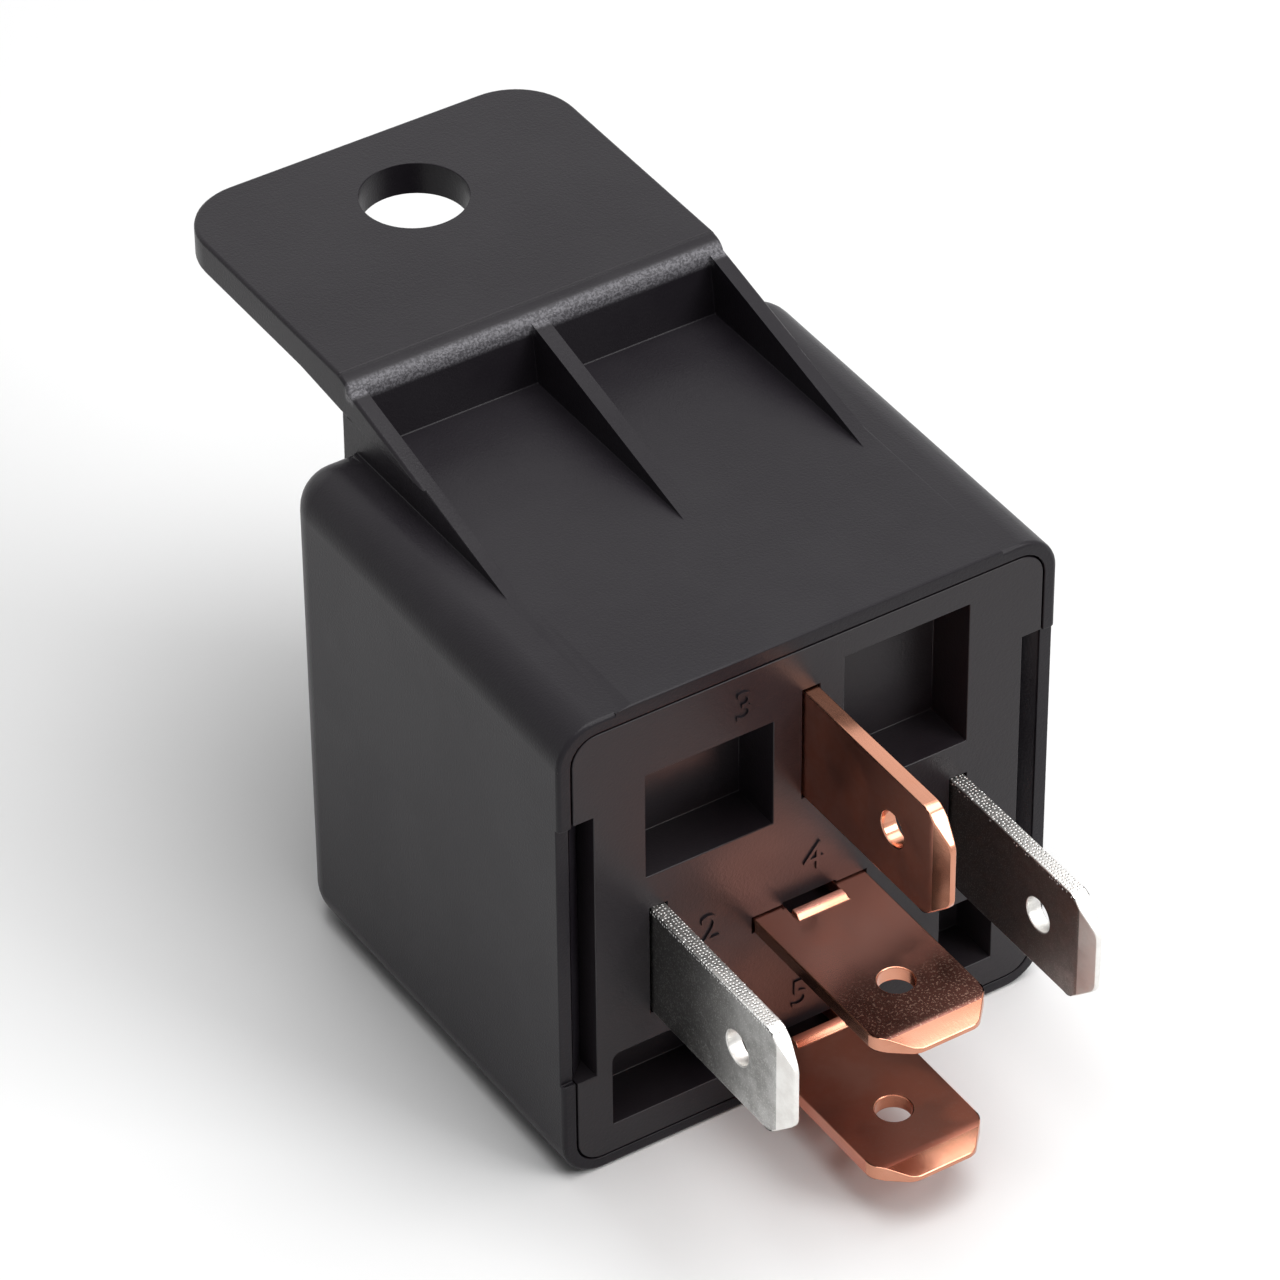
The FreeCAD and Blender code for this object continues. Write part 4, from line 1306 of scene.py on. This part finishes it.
# This copper gets the strongest painted reflection near the tip.
copper_painted_reflection = new_copper("copper_painted_reflection", (0.80, 0.37, 0.29), (0.76, 0.32, 0.24), 0.95, 0.22, 0.27)
copper_edge = new_copper("copper_edge", (0.64, 0.30, 0.20), (0.59, 0.255, 0.16), 0.0, 0.18, 0.26)


def new_tin(name, bright, dull, root_reflection_share, smooth, rough):
    pattern = {"Lines": 9000.0, "Stains": 700.0, "Specks": 12000.0}
    material, tree, shader, strip, stained = new_strip(name, pattern, bright, dull, 1.0, smooth, rough)
    edge_z = (height_coil_blades + half_blade) / metre
    dot_values = {"Dots": 5200.0, "Band Low": edge_z - 0.0003, "Band High": edge_z + 0.001}
    dots = add_group(tree, dots_group, dot_values)["Dots"]
    # Painted reflection: towards the base the colour is darkened by the share.
    root_reflected = add_mix(tree, times(tree, strip["Root"], root_reflection_share), stained, painted_root_reflection_tone)
    # Painted glint: the dents are coloured near white, and the bump presses them in.
    dotted = add_mix(tree, dots, root_reflected, dent_glint_tone)
    specked = add_mix(tree, times(tree, strip["Specks"], 0.35), dotted, tin_speck)
    tree.links.new(specked, shader.inputs["Base Color"])
    relief = add_math(tree, "SUBTRACT", times(tree, strip["Lines"], 0.1), dots)
    add_bump(tree, shader, relief, 0.05)
    return material


tin_face = new_tin("tin_face", (0.50, 0.495, 0.48), (0.34, 0.335, 0.32), 0.8, 0.28, 0.34)
tin_edge = new_tin("tin_edge", (0.88, 0.87, 0.84), (0.78, 0.76, 0.73), 0.7, 0.36, 0.46)


def dress_strip(obj, face_material, edge_material, flat):
    """Puts the face material on faces that look along the flat direction, and the edge material on the rest."""
    put_on(obj, face_material, edge_material)
    for face in obj.data.polygons:
        on_tongue = face.center.y < rim / metre + 0.0001
        face.material_index = 1 if on_tongue and abs(face.normal.dot(Vector(flat))) < 0.985 else 0


dress_strip(common, copper_face, copper_edge, (1, 0, 0))
dress_strip(working, copper_face, copper_edge, (0, 0, 1))
dress_strip(resting, copper_painted_reflection, copper_edge, (0, 0, 1))
for blade in coil_blades:
    dress_strip(blade, tin_face, tin_edge, (1, 0, 0))
print("copper and tin on", 3 + len(coil_blades), "blades")

# %% [markdown]
# The works inside have plain engineering finishes: natural nylon for the bobbin, glossy enamelled wire, zinc
# plated iron, bronze, brass and silver. They all come from one recipe with different values.

# %% Finishes of the works
finishes = {
    "bobbin_plastic": ((0.76, 0.74, 0.68), (0.70, 0.67, 0.60), 0.0, 0.45, 0.55, 0.004),
    "enamelled_wire": ((0.50, 0.17, 0.06), (0.40, 0.12, 0.04), 0.7, 0.28, 0.35, 0.001),
    "plated_iron": ((0.62, 0.62, 0.61), (0.52, 0.52, 0.52), 1.0, 0.3, 0.42, 0.002),
    "spring_bronze": ((0.76, 0.48, 0.30), (0.66, 0.40, 0.24), 1.0, 0.28, 0.36, 0.001),
    "rivet_brass": ((0.78, 0.62, 0.36), (0.68, 0.52, 0.28), 1.0, 0.28, 0.36, 0.001),
    "contact_silver": ((0.86, 0.86, 0.84), (0.76, 0.76, 0.75), 1.0, 0.18, 0.26, 0.001),
}
inner_pattern = {"Lines": 5000.0, "Stains": 260.0, "Specks": 4200.0}
inner_materials = {}
for name, (light_tone, dark_tone, metallic, smooth, rough, depth) in finishes.items():
    parts = new_strip(name, inner_pattern, light_tone, dark_tone, metallic, smooth, rough)
    inner_materials[name], tree, shader, strip, stained = parts
    tree.links.new(stained, shader.inputs["Base Color"])
    add_bump(tree, shader, strip["Lines"], depth)
put_on(winding, inner_materials["enamelled_wire"])
put_on(leaf, inner_materials["spring_bronze"])
for subpart in frame["record"]["subparts"]:
    node = frame["nodes"][subpart["node"]]
    if subpart["material_slot"] in inner_materials and not node.hide_render:
        put_on(node, inner_materials[subpart["material_slot"]])
        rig.slot(node, subpart["material_slot"])
        print(subpart["node"], "gets", subpart["material_slot"])

# %% [markdown]
# The studio is a pale floor under broad soft lights. The large one overhead makes most of the light. Black
# plastic shows hardly more than what it mirrors, so each other lamp stands where one kind of face mirrors it:
# behind for the flat tops, high on the right for the ribs, behind on the left for the rounded edge, and at
# the front right for the nose and the bevels of the blades. The world is white where it is seen or mirrored,
# and dim as a light.

# %% Floor
deselect()
bpy.ops.mesh.primitive_plane_add(size=3, location=(0, 0, -0.00002))
floor = bpy.context.active_object
floor.name = "floor"
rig.stage(floor)
floor_material, tree, shader = new_material("floor_white", 0.9, 0.0, 0.0)
shader.inputs["Base Color"].default_value = (0.9, 0.9, 0.9, 1)
put_on(floor, floor_material)
print("floor", floor.dimensions.x, "m wide")

# %% World
world = bpy.data.worlds.new("studio")
bpy.context.scene.world = world
world.use_nodes = True
tree = world.node_tree
background = tree.nodes["Background"]
path = tree.nodes.new("ShaderNodeLightPath")
seen = add_math(tree, "MAXIMUM", path.outputs["Is Camera Ray"], path.outputs["Is Glossy Ray"])
seen = add_math(tree, "MAXIMUM", seen, path.outputs["Is Transmission Ray"])
tree.links.new(add_range(tree, seen, 0, 1, 0.1, 1.0), background.inputs["Strength"])
background.inputs["Color"].default_value = (1, 1, 1, 1)
print("world: white where it is seen or mirrored, dim as a light")

# %% Lamps
part_middle = Vector((0, 0, 0.015))
lamps = {
    "overhead": ((0.05, -0.05, 0.5), (0.45, 0.45), 2.5),
    "high_right": ((0.2, 0.1, 0.45), (0.22, 0.22), 0.1),
    "back": ((0.12, 0.42, 0.24), (0.7, 0.26), 0.3),
    "back_left": ((-0.12, 0.31, 0.37), (0.2, 0.2), 0.02),
    "front_right": ((0.27, -0.42, 0.36), (0.25, 0.25), 1.6),
}
for name, (lamp_place, lamp_size, power) in lamps.items():
    data = bpy.data.lights.new(name, "AREA")
    data.shape = "RECTANGLE"
    data.size, data.size_y = lamp_size
    data.energy = power
    lamp = bpy.data.objects.new(name, data)
    bpy.context.scene.collection.objects.link(lamp)
    lamp.location = lamp_place
    lamp.rotation_euler = (part_middle - Vector(lamp_place)).to_track_quat("-Z", "Y").to_euler()
print(len(lamps), "soft lamps")

# %% Measure and finish
with open("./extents.json", "w") as out:
    boxes = {"cad": cad_bounds, "visual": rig.bounds()}
    json.dump({name: [list(corner) for corner in box] for name, box in boxes.items()}, out)
print(open("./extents.json").read())
